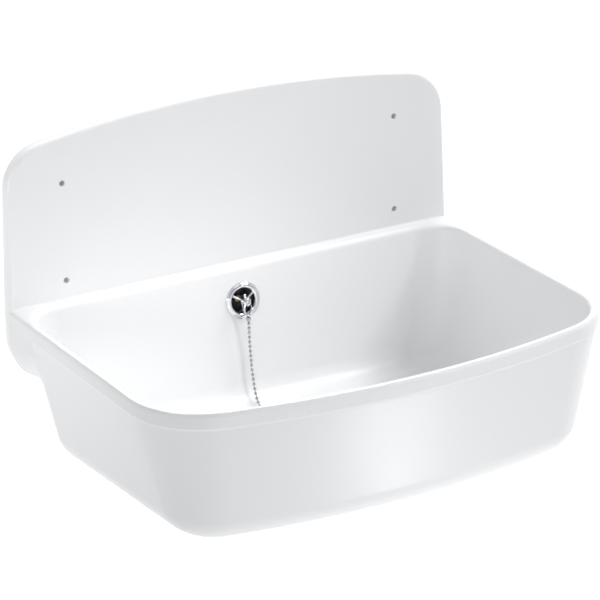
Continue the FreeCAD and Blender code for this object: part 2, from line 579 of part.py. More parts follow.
def oriented(shape, base, direction):
    s = shape.copy()
    rot = FreeCAD.Rotation(V(0, 0, 1), direction)
    s.Placement = FreeCAD.Placement(base, rot)
    return s


bell = revolve_z([(0, 0), (1.6, 0), (2.2, 0.4), (2.75, 1.5), (2.9, 3.0), (2.75, 4.5), (2.0, 5.9), (1.2, 6.6), (0, 6.6)])

# chain routes: straight runs joined by tangent arcs
def route(points):
    segs = []
    prev = points[0]
    radii = []
    total = 0.0
    for i in range(1, len(points) - 1):
        a, b, c = points[i - 1], points[i], points[i + 1]
        u1 = (a - b).normalize()
        u2 = (c - b).normalize()
        turn = math.pi - math.acos(max(-1, min(1, u1.dot(u2))))
        run = min(a.distanceToPoint(b), b.distanceToPoint(c))
        r = 0.45 * run / math.tan(turn / 2)
        t = 0.45 * run
        bis = (u1 + u2).normalize()
        cen = b + bis * (r / math.cos(turn / 2))
        s, e = b + u1 * t, b + u2 * t
        m = cen + (b - cen).normalize() * r
        segs.append(Part.LineSegment(prev, s).toShape())
        segs.append(Part.Arc(s, m, e).toShape())
        radii.append((round(r, 1), round(math.degrees(turn), 1), round(run, 1)))
        prev = e
    segs.append(Part.LineSegment(prev, points[-1]).toShape())
    w = Part.Wire(segs)
    d = (points[1] - points[0]).normalize()
    c = Part.Wire(Part.makeCircle(CHAIN_D / 2, points[0], d))
    sh = w.makePipeShell([c], True, True)
    print("  radii (mm, turn, run):", radii)
    print("  length %.1f volume %.1f against %.1f" % (w.Length, sh.Volume, math.pi * (CHAIN_D / 2) ** 2 * w.Length))
    return sh, w


ring_tip = V(0, DRAIN_Y + rc_y + RING_R * 0.966, S + rc_z + RING_R * 0.26)
print("ring tip", ring_tip)
END_DIR = V(-0.10, 0.96, -0.26).normalize()
CH_END = ring_tip + END_DIR * 5.4
up_pts = [CH_TOP, V(0.2, CH_TOP.y - 0.2, CH_TOP.z - 13.8), V(-0.1, CH_TOP.y - 1.3, CH_TOP.z - 28.6), V(0.0, CH_TOP.y - 2.9, CH_TOP.z - 43.3)]
split = up_pts[-1]
sd = (up_pts[-1] - up_pts[-2]).normalize()
low_pts = [split, split + sd * 15.0,
           V(-0.2, -59.6, RIM - 142.0), V(-0.9, -66.6, RIM - 160.0), V(-3.0, -79.6, RIM - 169.3), V(-5.2, -98.9, RIM - 169.4),
           CH_END]
print("upper chain"); ch_u, wu = route(up_pts)
print("lower chain"); ch_l, wl = route(low_pts)
print("route upper", [(round(p.x, 2), round(p.y, 2), round(p.z, 2)) for p in up_pts])
print("route lower", [(round(p.x, 2), round(p.y, 2), round(p.z, 2)) for p in low_pts])
save("chain_upper", ch_u)
save("chain_lower", ch_l)
bu = oriented(bell, CH_TOP, (up_pts[0] - up_pts[1]).normalize())
save("chain_end_upper", bu)
bl = oriented(bell, CH_END, (low_pts[-1] - low_pts[-2]).normalize())
save("chain_end_lower", bl)
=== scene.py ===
import json
import math
import bpy
import numpy as np
from mathutils import Matrix, Vector


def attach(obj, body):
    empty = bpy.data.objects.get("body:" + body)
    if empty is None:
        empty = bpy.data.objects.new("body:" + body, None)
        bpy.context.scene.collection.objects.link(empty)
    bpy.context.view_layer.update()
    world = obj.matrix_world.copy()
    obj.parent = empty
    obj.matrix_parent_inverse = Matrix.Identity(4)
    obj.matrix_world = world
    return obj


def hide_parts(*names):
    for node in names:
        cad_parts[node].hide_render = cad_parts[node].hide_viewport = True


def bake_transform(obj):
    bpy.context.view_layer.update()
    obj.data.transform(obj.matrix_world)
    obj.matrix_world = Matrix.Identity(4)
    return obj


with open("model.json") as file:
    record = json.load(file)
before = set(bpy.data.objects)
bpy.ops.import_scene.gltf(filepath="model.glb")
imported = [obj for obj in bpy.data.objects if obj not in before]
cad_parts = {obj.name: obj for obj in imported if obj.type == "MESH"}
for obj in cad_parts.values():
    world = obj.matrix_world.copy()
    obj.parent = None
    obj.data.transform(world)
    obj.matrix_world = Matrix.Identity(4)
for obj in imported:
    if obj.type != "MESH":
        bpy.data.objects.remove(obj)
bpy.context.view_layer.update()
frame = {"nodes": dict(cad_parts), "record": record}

# Looks of a wall-hung mop service sink. Shapes are worked out in millimetres and made in metres, in the frame of
# the CAD: +X right, +Y towards the wall, +Z up, origin in the middle of the four fixing holes on the wall plane.

MM = 0.001
COLL = bpy.context.scene.collection


# ------------------------------------------------------------------ camera
cam_data = bpy.data.cameras.new("camera")
cam_data.sensor_fit = "HORIZONTAL"
cam_data.sensor_width = 36.0
cam_data.lens = 196.85
cam_data.clip_start = 0.1
cam_data.clip_end = 60.0
cam = bpy.data.objects.new("camera", cam_data)
COLL.objects.link(cam)
right = Vector((0.8655908168, -0.5004634838, -0.0169952682))
down = Vector((-0.1983900705, -0.3115736670, -0.9292810285))
fwd = Vector((0.4597759429, 0.8077488170, -0.3689822908))
m = Matrix.Identity(4)
for r in range(3):
    m[r][0] = right[r]
    m[r][1] = -down[r]
    m[r][2] = -fwd[r]
m[0][3], m[1][3], m[2][3] = -1.758609, -3.266422, 1.330668
cam.matrix_world = m
bpy.context.scene.camera = cam


# ------------------------------------------------------------------ materials
def new_mat(name):
    mt = bpy.data.materials.new(name)
    mt.use_nodes = True
    nt = mt.node_tree
    nt.nodes.clear()
    out = nt.nodes.new("ShaderNodeOutputMaterial")
    bs = nt.nodes.new("ShaderNodeBsdfPrincipled")
    nt.links.new(bs.outputs["BSDF"], out.inputs["Surface"])
    return mt, nt, bs


def texco(nt, scale=(1, 1, 1)):
    tc = nt.nodes.new("ShaderNodeTexCoord")
    mp = nt.nodes.new("ShaderNodeMapping")
    mp.inputs["Scale"].default_value = scale
    nt.links.new(tc.outputs["Object"], mp.inputs["Vector"])
    return mp.outputs["Vector"]


def noise(nt, vec, scale, detail=2.0, rough=0.5, distortion=0.0):
    n = nt.nodes.new("ShaderNodeTexNoise")
    n.inputs["Scale"].default_value = scale
    n.inputs["Detail"].default_value = detail
    n.inputs["Roughness"].default_value = rough
    n.inputs["Distortion"].default_value = distortion
    nt.links.new(vec, n.inputs["Vector"])
    return n.outputs["Fac"]


def remap(nt, fac, lo, hi, a=0.3, b=0.7):
    mr = nt.nodes.new("ShaderNodeMapRange")
    mr.inputs["From Min"].default_value = a
    mr.inputs["From Max"].default_value = b
    mr.inputs["To Min"].default_value = lo
    mr.inputs["To Max"].default_value = hi
    nt.links.new(fac, mr.inputs["Value"])
    return mr.outputs["Result"]


def ramp(nt, fac, stops):
    cr = nt.nodes.new("ShaderNodeValToRGB")
    el = cr.color_ramp.elements
    while len(el) < len(stops):
        el.new(0.5)
    for e, (p, c) in zip(el, stops):
        e.position = p
        e.color = (c[0], c[1], c[2], 1.0)
    nt.links.new(fac, cr.inputs["Fac"])
    return cr.outputs["Color"]


def bump(nt, bs, heights, strength=1.0):
    """Heights is a list of (socket, distance in metres), chained."""
    prev = None
    for sock, dist in heights:
        b = nt.nodes.new("ShaderNodeBump")
        b.inputs["Strength"].default_value = strength
        b.inputs["Distance"].default_value = dist
        nt.links.new(sock, b.inputs["Height"])
        if prev is not None:
            nt.links.new(prev, b.inputs["Normal"])
        prev = b.outputs["Normal"]
    nt.links.new(prev, bs.inputs["Normal"])


def mat_white():
    mt, nt, bs = new_mat("white_plastic")
    v = texco(nt)
    cloud = noise(nt, v, 5.0, 1.0, 0.5)
    nt.links.new(ramp(nt, cloud, [(0.0, (0.836, 0.840, 0.844)), (1.0, (0.850, 0.853, 0.855))]), bs.inputs["Base Color"])
    nt.links.new(remap(nt, noise(nt, v, 12.0, 2.0, 0.5), 0.29, 0.34), bs.inputs["Roughness"])
    bs.inputs["IOR"].default_value = 1.49
    bs.inputs["Specular IOR Level"].default_value = 0.5
    bs.inputs["Subsurface Weight"].default_value = 0.0
    bump(nt, bs, [(noise(nt, v, 260.0, 1.0, 0.5), 0.000005), (noise(nt, v, 8.0, 0.0, 0.4), 0.00010)])
    return mt


def mat_chrome(name, base, r0, r1, scratch=0.000006):
    mt, nt, bs = new_mat(name)
    v = texco(nt)
    vs = texco(nt, (1.0, 6.0, 1.0))
    tone = noise(nt, v, 160.0, 3.0, 0.6)
    nt.links.new(ramp(nt, tone, [(0.3, tuple(c * 0.94 for c in base)), (0.7, base)]), bs.inputs["Base Color"])
    bs.inputs["Metallic"].default_value = 1.0
    nt.links.new(remap(nt, noise(nt, vs, 420.0, 4.0, 0.65), r0, r1), bs.inputs["Roughness"])
    bump(nt, bs, [(noise(nt, vs, 900.0, 3.0, 0.6), scratch)])
    return mt


def mat_steel():
    mt, nt, bs = new_mat("steel")
    tc = nt.nodes.new("ShaderNodeTexCoord")
    mp = nt.nodes.new("ShaderNodeMapping")
    mp.inputs["Location"].default_value = (0.0, 0.132, 0.0)
    nt.links.new(tc.outputs["Object"], mp.inputs["Vector"])
    sx = nt.nodes.new("ShaderNodeSeparateXYZ")
    nt.links.new(mp.outputs["Vector"], sx.inputs["Vector"])
    a = nt.nodes.new("ShaderNodeMath"); a.operation = "POWER"; a.inputs[1].default_value = 2.0
    b = nt.nodes.new("ShaderNodeMath"); b.operation = "POWER"; b.inputs[1].default_value = 2.0
    nt.links.new(sx.outputs["X"], a.inputs[0]); nt.links.new(sx.outputs["Y"], b.inputs[0])
    s = nt.nodes.new("ShaderNodeMath"); s.operation = "ADD"
    nt.links.new(a.outputs[0], s.inputs[0]); nt.links.new(b.outputs[0], s.inputs[1])
    q = nt.nodes.new("ShaderNodeMath"); q.operation = "SQRT"
    nt.links.new(s.outputs[0], q.inputs[0])
    cx = nt.nodes.new("ShaderNodeCombineXYZ")
    nt.links.new(q.outputs[0], cx.inputs["X"])
    nt.links.new(sx.outputs["Z"], cx.inputs["Z"])
    ring = noise(nt, cx.outputs["Vector"], 2600.0, 3.0, 0.6)
    nt.links.new(ramp(nt, ring, [(0.3, (0.56, 0.57, 0.58)), (0.7, (0.68, 0.69, 0.70))]), bs.inputs["Base Color"])
    bs.inputs["Metallic"].default_value = 1.0
    nt.links.new(remap(nt, ring, 0.20, 0.36), bs.inputs["Roughness"])
    bump(nt, bs, [(ring, 0.000008)])
    return mt


def mat_rubber(name, lo, hi, r0, r1, dust=0.0):
    mt, nt, bs = new_mat(name)
    v = texco(nt)
    nt.links.new(ramp(nt, noise(nt, v, 90.0, 4.0, 0.6), [(0.3, lo), (0.72, hi)]), bs.inputs["Base Color"])
    nt.links.new(remap(nt, noise(nt, v, 240.0, 3.0, 0.6), r0, r1), bs.inputs["Roughness"])
    bs.inputs["Sheen Weight"].default_value = dust
    bs.inputs["Sheen Roughness"].default_value = 0.5
    bump(nt, bs, [(noise(nt, v, 1100.0, 3.0, 0.6), 0.00003), (noise(nt, v, 120.0, 2.0, 0.5), 0.00006)])
    return mt


def mat_plastic(name, lo, hi, r0, r1, grain=0.00004, trans=0.0):
    mt, nt, bs = new_mat(name)
    v = texco(nt)
    nt.links.new(ramp(nt, noise(nt, v, 60.0, 4.0, 0.6), [(0.3, lo), (0.72, hi)]), bs.inputs["Base Color"])
    nt.links.new(remap(nt, noise(nt, v, 200.0, 3.0, 0.6), r0, r1), bs.inputs["Roughness"])
    bs.inputs["Transmission Weight"].default_value = trans
    bump(nt, bs, [(noise(nt, v, 900.0, 3.0, 0.65), grain), (noise(nt, v, 70.0, 1.0, 0.5), 0.00008)])
    return mt


def mat_brass():
    mt, nt, bs = new_mat("brass")
    v = texco(nt)
    nt.links.new(ramp(nt, noise(nt, v, 300.0, 3.0, 0.6), [(0.3, (0.60, 0.44, 0.20)), (0.7, (0.74, 0.58, 0.32))]), bs.inputs["Base Color"])
    bs.inputs["Metallic"].default_value = 1.0
    nt.links.new(remap(nt, noise(nt, v, 700.0, 3.0, 0.6), 0.25, 0.42), bs.inputs["Roughness"])
    bump(nt, bs, [(noise(nt, texco(nt, (1, 1, 12)), 800.0, 2.0, 0.5), 0.00001)])
    return mt


MATS = {
    "white_plastic": mat_white(),
    "chrome": mat_chrome("chrome", (0.80, 0.81, 0.83), 0.07, 0.15),
    "chrome_screw": mat_chrome("chrome_screw", (0.76, 0.77, 0.79), 0.12, 0.24),
    "chain_metal": mat_chrome("chain_metal", (0.46, 0.46, 0.48), 0.14, 0.26),
    "steel": mat_steel(),
    "steel_screw": mat_chrome("steel_screw", (0.60, 0.61, 0.62), 0.24, 0.38),
    "gasket_rubber": mat_rubber("gasket_rubber", (0.030, 0.030, 0.033), (0.055, 0.055, 0.06), 0.60, 0.78, 0.15),
    "plug_rubber": mat_rubber("plug_rubber", (0.035, 0.035, 0.04), (0.075, 0.075, 0.08), 0.50, 0.66, 0.10),
    "black_plastic": mat_plastic("black_plastic", (0.080, 0.080, 0.086), (0.15, 0.15, 0.16), 0.38, 0.52),
    "waste_plastic": mat_plastic("waste_plastic", (0.78, 0.78, 0.765), (0.86, 0.86, 0.85), 0.34, 0.48),
    "collar_plastic": mat_plastic("collar_plastic", (0.74, 0.74, 0.725), (0.83, 0.83, 0.82), 0.36, 0.50),
    "hose_plastic": mat_plastic("hose_plastic", (0.76, 0.765, 0.75), (0.86, 0.865, 0.855), 0.26, 0.40, 0.00002),
    "brass": mat_brass(),
}


# ------------------------------------------------------------------ mesh helpers
def make_mesh(name, verts_mm, faces, normals=None, slot=None):
    me = bpy.data.meshes.new(name)
    v = np.asarray(verts_mm, float) * MM
    me.from_pydata(v.tolist(), [], faces if isinstance(faces, list) else faces.tolist())
    me.validate(verbose=False)
    me.polygons.foreach_set("use_smooth", [True] * len(me.polygons))
    me.update()
    if normals is not None and len(me.vertices) == len(normals):
        me.normals_split_custom_set_from_vertices(np.asarray(normals, float).tolist())
    ob = bpy.data.objects.new(name, me)
    COLL.objects.link(ob)
    if slot:
        me.materials.append(MATS[slot])
    return ob


def surface_nets(F, xs, ys, zs):
    """Vertices and quads of the zero surface of F on a rectilinear lattice, negative inside."""
    nx, ny, nz = F.shape
    ins = F < 0
    cy, cz = ny - 1, nz - 1
    ax = (xs, ys, zs)
    ids, pts, quads = [], [], []

    def cid(i, j, k):
        return (i * cy + j) * cz + k

    for a in range(3):
        s0 = [slice(None)] * 3
        s1 = [slice(None)] * 3
        s0[a], s1[a] = slice(None, -1), slice(1, None)
        s0, s1 = tuple(s0), tuple(s1)
        i, j, k = np.nonzero(ins[s0] != ins[s1])
        f0 = F[s0][i, j, k].astype(float)
        f1 = F[s1][i, j, k].astype(float)
        t = f0 / (f0 - f1)
        idx = (i, j, k)
        p = np.stack([ax[b][idx[b]] for b in range(3)], 1).astype(float)
        p[:, a] += t * (ax[a][idx[a] + 1] - ax[a][idx[a]])
        b, c = (a + 1) % 3, (a + 2) % 3
        quad = []
        for db, dc in ((-1, -1), (0, -1), (0, 0), (-1, 0)):
            q = [None] * 3
            q[a], q[b], q[c] = idx[a], idx[b] + db, idx[c] + dc
            n = cid(*q)
            ids.append(n)
            pts.append(p)
            quad.append(n)
        quad = np.stack(quad, 1)
        flip = f0 > 0
        quad[flip] = quad[flip][:, ::-1]
        quads.append(quad)
    ids = np.concatenate(ids)
    pts = np.concatenate(pts)
    quads = np.concatenate(quads)
    u, inv = np.unique(ids, return_inverse=True)
    cnt = np.bincount(inv, minlength=len(u)).astype(float)
    v = np.stack([np.bincount(inv, weights=pts[:, b], minlength=len(u)) / cnt for b in range(3)], 1)
    q = np.searchsorted(u, quads)
    return v, q


def gradient(f, p, e):
    g = np.empty_like(p)
    for b in range(3):
        d = np.zeros(3)
        d[b] = e
        g[:, b] = (f(p[:, 0] + d[0], p[:, 1] + d[1], p[:, 2] + d[2]) - f(p[:, 0] - d[0], p[:, 1] - d[1], p[:, 2] - d[2])) / (2 * e)
    return g


def axis_points(*runs):
    """Lattice coordinates from runs (start, end, step); neighbouring runs share their end."""
    out = []
    for a, b, s in runs:
        n = max(1, int(round((b - a) / s)))
        out.append(np.linspace(a, b, n + 1)[(1 if out else 0):])
    return np.concatenate(out)


def sdf_mesh(name, f, xs, ys, zs, slot, frame3=None, mirror=False, eps=0.1, steps=3, cap=1.0):
    """Mesh of the zero surface of f. frame3 is (origin, x axis, y axis, z axis) of the local frame, in mm."""
    F = f(xs[:, None, None], ys[None, :, None], zs[None, None, :])
    F = np.broadcast_to(F, (len(xs), len(ys), len(zs))).astype(np.float32)
    if mirror:
        F = np.concatenate([F[1:][::-1], F], 0)
        xs = np.concatenate([-xs[1:][::-1], xs])
    v, q = surface_nets(F, xs, ys, zs)
    for _ in range(steps):
        g = gradient(f, v, eps * 0.5)
        n2 = np.maximum((g * g).sum(1), 0.05)
        s = f(v[:, 0], v[:, 1], v[:, 2]) / n2
        v = v - np.clip(s, -cap, cap)[:, None] * g
    g = gradient(f, v, eps)
    g /= np.maximum(np.linalg.norm(g, axis=1), 1e-9)[:, None]
    if frame3 is not None:
        o, ex, ey, ez = [np.array(t, float) for t in frame3]
        v = o + v[:, :1] * ex + v[:, 1:2] * ey + v[:, 2:3] * ez
        g = g[:, :1] * ex + g[:, 1:2] * ey + g[:, 2:3] * ez
    return make_mesh(name, v, q, g, slot)


def smooth01(a, b, x):
    t = np.clip((x - a) / (b - a), 0, 1)
    return t * t * (3 - 2 * t)


def smin(a, b, k):
    k = np.maximum(k, 1e-6)
    h = np.maximum(k - np.abs(a - b), 0) / k
    return np.minimum(a, b) - h * h * k * 0.25


def smax(a, b, k):
    return -smin(-a, -b, k)


def rint(a, b, r):
    """Intersection with its edge rounded to r."""
    return np.minimum(np.maximum(a, b), -r) + np.hypot(np.maximum(a + r, 0), np.maximum(b + r, 0))


def runion(a, b, r):
    """Union with its corner filled to r."""
    return -rint(-a, -b, r)


def sd_poly(px, py, poly):
    """Signed distance to a closed polygon, negative inside."""
    px, py = np.broadcast_arrays(np.asarray(px, float), np.asarray(py, float))
    d2 = np.full(px.shape, 1e12)
    sgn = np.zeros(px.shape, bool)
    n = len(poly)
    for i in range(n):
        x0, y0 = poly[i - 1]
        x1, y1 = poly[i]
        ex, ey = x1 - x0, y1 - y0
        wx, wy = px - x0, py - y0
        t = np.clip((wx * ex + wy * ey) / max(ex * ex + ey * ey, 1e-12), 0, 1)
        d2 = np.minimum(d2, (wx - t * ex) ** 2 + (wy - t * ey) ** 2)
        c = ((y0 > py) != (y1 > py))
        if ey != 0:
            xi = x0 + (py - y0) / ey * ex
            sgn ^= c & (px < xi)
    d = np.sqrt(d2)
    return np.where(sgn, -d, d)


def sd_line(px, py, pts):
    """Distance to an open polyline."""
    px, py = np.broadcast_arrays(np.asarray(px, float), np.asarray(py, float))
    d2 = np.full(px.shape, 1e12)
    for i in range(1, len(pts)):
        x0, y0 = pts[i - 1]
        x1, y1 = pts[i]
        ex, ey = x1 - x0, y1 - y0
        wx, wy = px - x0, py - y0
        t = np.clip((wx * ex + wy * ey) / max(ex * ex + ey * ey, 1e-12), 0, 1)
        d2 = np.minimum(d2, (wx - t * ex) ** 2 + (wy - t * ey) ** 2)
    return np.sqrt(d2)


def fillet_profile(points, closed=False, n=5):
    """(x, y, radius) points to a finely cut line with round corners."""
    m_ = len(points)
    P = [np.array(p[:2], float) for p in points]
    out = []
    for i in range(m_):
        r = points[i][2] if len(points[i]) > 2 else 0.0
        if not closed and i in (0, m_ - 1):
            out.append(P[i])
            continue
        a, b, c = P[i - 1], P[i], P[(i + 1) % m_]
        u1, u2 = a - b, c - b
        l1, l2 = np.linalg.norm(u1), np.linalg.norm(u2)
        u1, u2 = u1 / l1, u2 / l2
        ang = math.acos(max(-1.0, min(1.0, float(u1 @ u2))))
        if r <= 0 or ang > math.pi - 1e-3:
            out.append(b)
            continue
        t = min(r / math.tan(ang / 2), 0.49 * l1, 0.49 * l2)
        r = t * math.tan(ang / 2)
        cen = b + (u1 + u2) / np.linalg.norm(u1 + u2) * (r / math.sin(ang / 2))
        p, q = b + u1 * t, b + u2 * t
        a0 = math.atan2(p[1] - cen[1], p[0] - cen[0])
        a1 = math.atan2(q[1] - cen[1], q[0] - cen[0])
        da = (a1 - a0 + math.pi) % (2 * math.pi) - math.pi
        for s in range(n + 1):
            w = a0 + da * s / n
            out.append(cen + r * np.array([math.cos(w), math.sin(w)]))
    return [tuple(p) for p in out]


def spline(points, n=6, closed=False):
    """Catmull-Rom through 2-D points."""
    P = [np.array(p, float) for p in points]
    m_ = len(P)
    out = []
    rng = range(m_ if closed else m_ - 1)
    for i in rng:
        p0 = P[(i - 1) % m_] if (closed or i > 0) else P[0] * 2 - P[1]
        p1, p2 = P[i], P[(i + 1) % m_]
        p3 = P[(i + 2) % m_] if (closed or i + 2 < m_) else P[-1] * 2 - P[-2]
        for s in range(n):
            t = s / n
            out.append(0.5 * ((2 * p1) + (p2 - p0) * t + (2 * p0 - 5 * p1 + 4 * p2 - p3) * t * t + (3 * p1 - p0 - 3 * p2 + p3) * t ** 3))
    if not closed:
        out.append(P[-1])
    return [tuple(p) for p in out]


def lathe(name, profile, slot, origin, axis=(0, 0, 1), seg=96, radial=None):
    """Closed solid of revolution. profile is a list of (r, z), starting and ending on the axis or closed round a hole.
    radial(angle, r, z) may change the radius."""
    ax = Vector(axis).normalized()
    q = Vector((0, 0, 1)).rotation_difference(ax).to_matrix()
    R = np.array(q)
    o = np.array(origin, float)
    pr = [(max(0.0, a), b) for a, b in profile]
    on_axis = pr[0][0] < 1e-6 and pr[-1][0] < 1e-6
    n = len(pr)
    ang = np.linspace(0, 2 * math.pi, seg, endpoint=False)
    V_, N_, faces = [], [], []
    P = np.array(pr)
    # profile normals, outward for a profile that runs anticlockwise in (r, z)
    d = np.empty_like(P)
    for i in range(n):
        a = P[i - 1] if (i > 0 or not on_axis) else P[i]
        b = P[(i + 1) % n] if (i < n - 1 or not on_axis) else P[i]
        e1, e2 = P[i] - a, b - P[i]
        l1, l2 = np.linalg.norm(e1), np.linalg.norm(e2)
        t = (e1 / l1 if l1 > 1e-9 else 0) + (e2 / l2 if l2 > 1e-9 else 0)
        # the longer neighbour leads, so flats stay flat
        if l1 > 1e-9 and l2 > 1e-9:
            t = e1 / l1 * l1 + e2 / l2 * l2
        d[i] = t / max(np.linalg.norm(t), 1e-9)
    area = 0.5 * sum(P[i - 1][0] * P[i][1] - P[i][0] * P[i - 1][1] for i in range(n))
    sg = 1.0 if area > 0 else -1.0
    nrm = np.stack([d[:, 1], -d[:, 0]], 1) * sg
    ring_id = []
    for i in range(n):
        if P[i][0] < 1e-6:
            ring_id.append([len(V_)])
            V_.append((0.0, 0.0, P[i][1]))
            N_.append((0.0, 0.0, nrm[i][1] if abs(nrm[i][1]) > 1e-6 else 1.0))
        else:
            ids = []
            for w in ang:
                rr = P[i][0] if radial is None else radial(w, P[i][0], P[i][1])
                ids.append(len(V_))
                V_.append((rr * math.cos(w), rr * math.sin(w), P[i][1]))
                N_.append((nrm[i][0] * math.cos(w), nrm[i][0] * math.sin(w), nrm[i][1]))
            ring_id.append(ids)
    last = n if not on_axis else n - 1
    for i in range(last):
        A, B = ring_id[i], ring_id[(i + 1) % n]
        for s in range(seg):
            s2 = (s + 1) % seg
            if len(A) == 1 and len(B) == 1:
                break
            if len(A) == 1:
                f = [A[0], B[s2], B[s]]
            elif len(B) == 1:
                f = [A[s], A[s2], B[0]]
            else:
                f = [A[s], A[s2], B[s2], B[s]]
            faces.append(f if sg > 0 else f[::-1])
    v = np.array(V_) @ R.T + o
    nn = np.array(N_) @ R.T
    ob = make_mesh(name, v, faces, nn if radial is None else None, slot)
    return ob


def tube(name, centre, radii, slot, seg=32, closed_ends=True):
    """Tube of round section through centre points with a radius at each; the ends are closed."""
    C = np.array(centre, float)
    n = len(C)
    T = np.gradient(C, axis=0)
    T /= np.linalg.norm(T, axis=1)[:, None]
    up = np.array([1.0, 0, 0]) if abs(T[0][0]) < 0.9 else np.array([0, 1.0, 0])
    U = up - T[0] * (up @ T[0])
    U /= np.linalg.norm(U)
    V_, faces = [], []
    ang = np.linspace(0, 2 * math.pi, seg, endpoint=False)
    for i in range(n):
        U = U - T[i] * (U @ T[i])
        U /= np.linalg.norm(U)
        W = np.cross(T[i], U)
        for w in ang:
            V_.append(C[i] + radii[i] * (math.cos(w) * U + math.sin(w) * W))
    for i in range(n - 1):
        for s in range(seg):
            s2 = (s + 1) % seg
            faces.append([i * seg + s, i * seg + s2, (i + 1) * seg + s2, (i + 1) * seg + s])
    if closed_ends:
        a = len(V_)
        V_.append(C[0]); V_.append(C[-1])
        for s in range(seg):
            s2 = (s + 1) % seg
            faces.append([a, s2, s])
            faces.append([a + 1, (n - 1) * seg + s, (n - 1) * seg + s2])
    return make_mesh(name, V_, faces, None, slot)


def join(name, obs):
    """Several meshes as one piece, custom normals kept."""
    first = obs[0]
    bpy.ops.object.select_all(action="DESELECT")
    for o in obs:
        o.select_set(True)
    bpy.context.view_layer.objects.active = first
    bpy.ops.object.join()
    first.name = name
    first.data.name = name
    return first


# ------------------------------------------------------------------ the ball chain
BALL = 4.0
UP_PTS = [(0.0, -51.04, -150.22), (0.2, -51.24, -164.02), (-0.1, -52.34, -178.82), (0.0, -53.94, -193.52)]
LOW_PTS = [(0.0, -53.94, -193.52), (0.1, -55.56, -208.43), (-0.2, -59.6, -225.5), (-0.9, -66.6, -243.5),
           (-3.0, -79.6, -252.8), (-5.2, -98.9, -252.9), (-0.54, -116.07, -248.91)]


def nurbs_points(name, pts):
    cu = bpy.data.curves.new(name, "CURVE")
    cu.dimensions = "3D"
    cu.resolution_u = 24
    sp = cu.splines.new("NURBS")
    sp.points.add(len(pts) - 1)
    for q, c in zip(sp.points, pts):
        q.co = (c[0] * MM, c[1] * MM, c[2] * MM, 1.0)
    sp.order_u = 3
    sp.use_endpoint_u = True
    ob = bpy.data.objects.new(name, cu)
    COLL.objects.link(ob)
    bpy.context.view_layer.update()
    dg = bpy.context.evaluated_depsgraph_get()
    me = bpy.data.meshes.new_from_object(ob.evaluated_get(dg))
    out = np.array([v.co[:] for v in me.vertices]) / MM
    bpy.data.objects.remove(ob)
    bpy.data.curves.remove(cu)
    bpy.data.meshes.remove(me)
    return out


def arc_len(P):
    return np.concatenate([[0], np.cumsum(np.linalg.norm(np.diff(P, axis=0), axis=1))])


def at_len(P, L, s):
    s = min(max(s, 0.0), L[-1])
    i = min(int(np.searchsorted(L, s, side="right")) - 1, len(P) - 2)
    t = (s - L[i]) / max(L[i + 1] - L[i], 1e-9)
    return P[i] + (P[i + 1] - P[i]) * t


def bead_geometry(c, d, twist, r=BALL / 2):
    """One hollow ball of the chain: a rolled, slightly barrelled ball with a turned-in lip at both ends, along d."""
    prof = [(-0.955, 0.30), (-0.985, 0.36), (-0.975, 0.44), (-0.90, 0.55), (-0.76, 0.74), (-0.55, 0.90), (-0.28, 0.985),
            (0.0, 1.0), (0.28, 0.985), (0.55, 0.90), (0.76, 0.74), (0.90, 0.55), (0.975, 0.44), (0.985, 0.36), (0.955, 0.30)]
    return ring_shell(c, d, [(z * r * 0.985, q * r) for z, q in prof], 20, twist)


def rod_geometry(a, b, r=0.55):
    d = b - a
    l = np.linalg.norm(d)
    d = d / l
    return ring_shell((a + b) / 2, d, [(-l / 2, r), (-l / 6, r * 0.96), (l / 6, r * 0.96), (l / 2, r)], 10, 0.0)


def ring_shell(c, d, prof, seg, twist):
    d = np.array(d, float)
    d /= np.linalg.norm(d)
    ref = np.array([1.0, 0, 0]) if abs(d[0]) < 0.8 else np.array([0, 0, 1.0])
    u = ref - d * (ref @ d)
    u /= np.linalg.norm(u)
    w = np.cross(d, u)
    V_, F_ = [], []
    for z, q in prof:
        for s in range(seg):
            a = 2 * math.pi * s / seg + twist
            V_.append(c + d * z + (math.cos(a) * u + math.sin(a) * w) * q)
    n = len(prof)
    for i in range(n - 1):
        for s in range(seg):
            s2 = (s + 1) % seg
            F_.append([i * seg + s, i * seg + s2, (i + 1) * seg + s2, (i + 1) * seg + s])
    V_.append(c + d * prof[0][0]); V_.append(c + d * prof[-1][0])
    for s in range(seg):
        s2 = (s + 1) % seg
        F_.append([n * seg, s2, s])
        F_.append([n * seg + 1, (n - 1) * seg + s, (n - 1) * seg + s2])
    return V_, F_


PU, PL = nurbs_points("route_upper", UP_PTS), nurbs_points("route_lower", LOW_PTS)
LU, LL = arc_len(PU), arc_len(PL)
ALL_P = np.concatenate([PU, PL[1:]])
ALL_L = arc_len(ALL_P)
TOTAL = ALL_L[-1]
S0, S1 = 3.1, TOTAL - 3.1
N_BEADS = int(round((S1 - S0) / 5.8)) + 1
PITCH = (S1 - S0) / (N_BEADS - 1)
rng = np.random.default_rng(7)
bead_s = [S0 + PITCH * i for i in range(N_BEADS)]
geo = {"upper": ([], []), "lower": ([], [])}


def add_geo(key, vf):
    V_, F_ = geo[key]
    o = len(V_)
    V_.extend(vf[0])
    F_.extend([[i + o for i in f] for f in vf[1]])


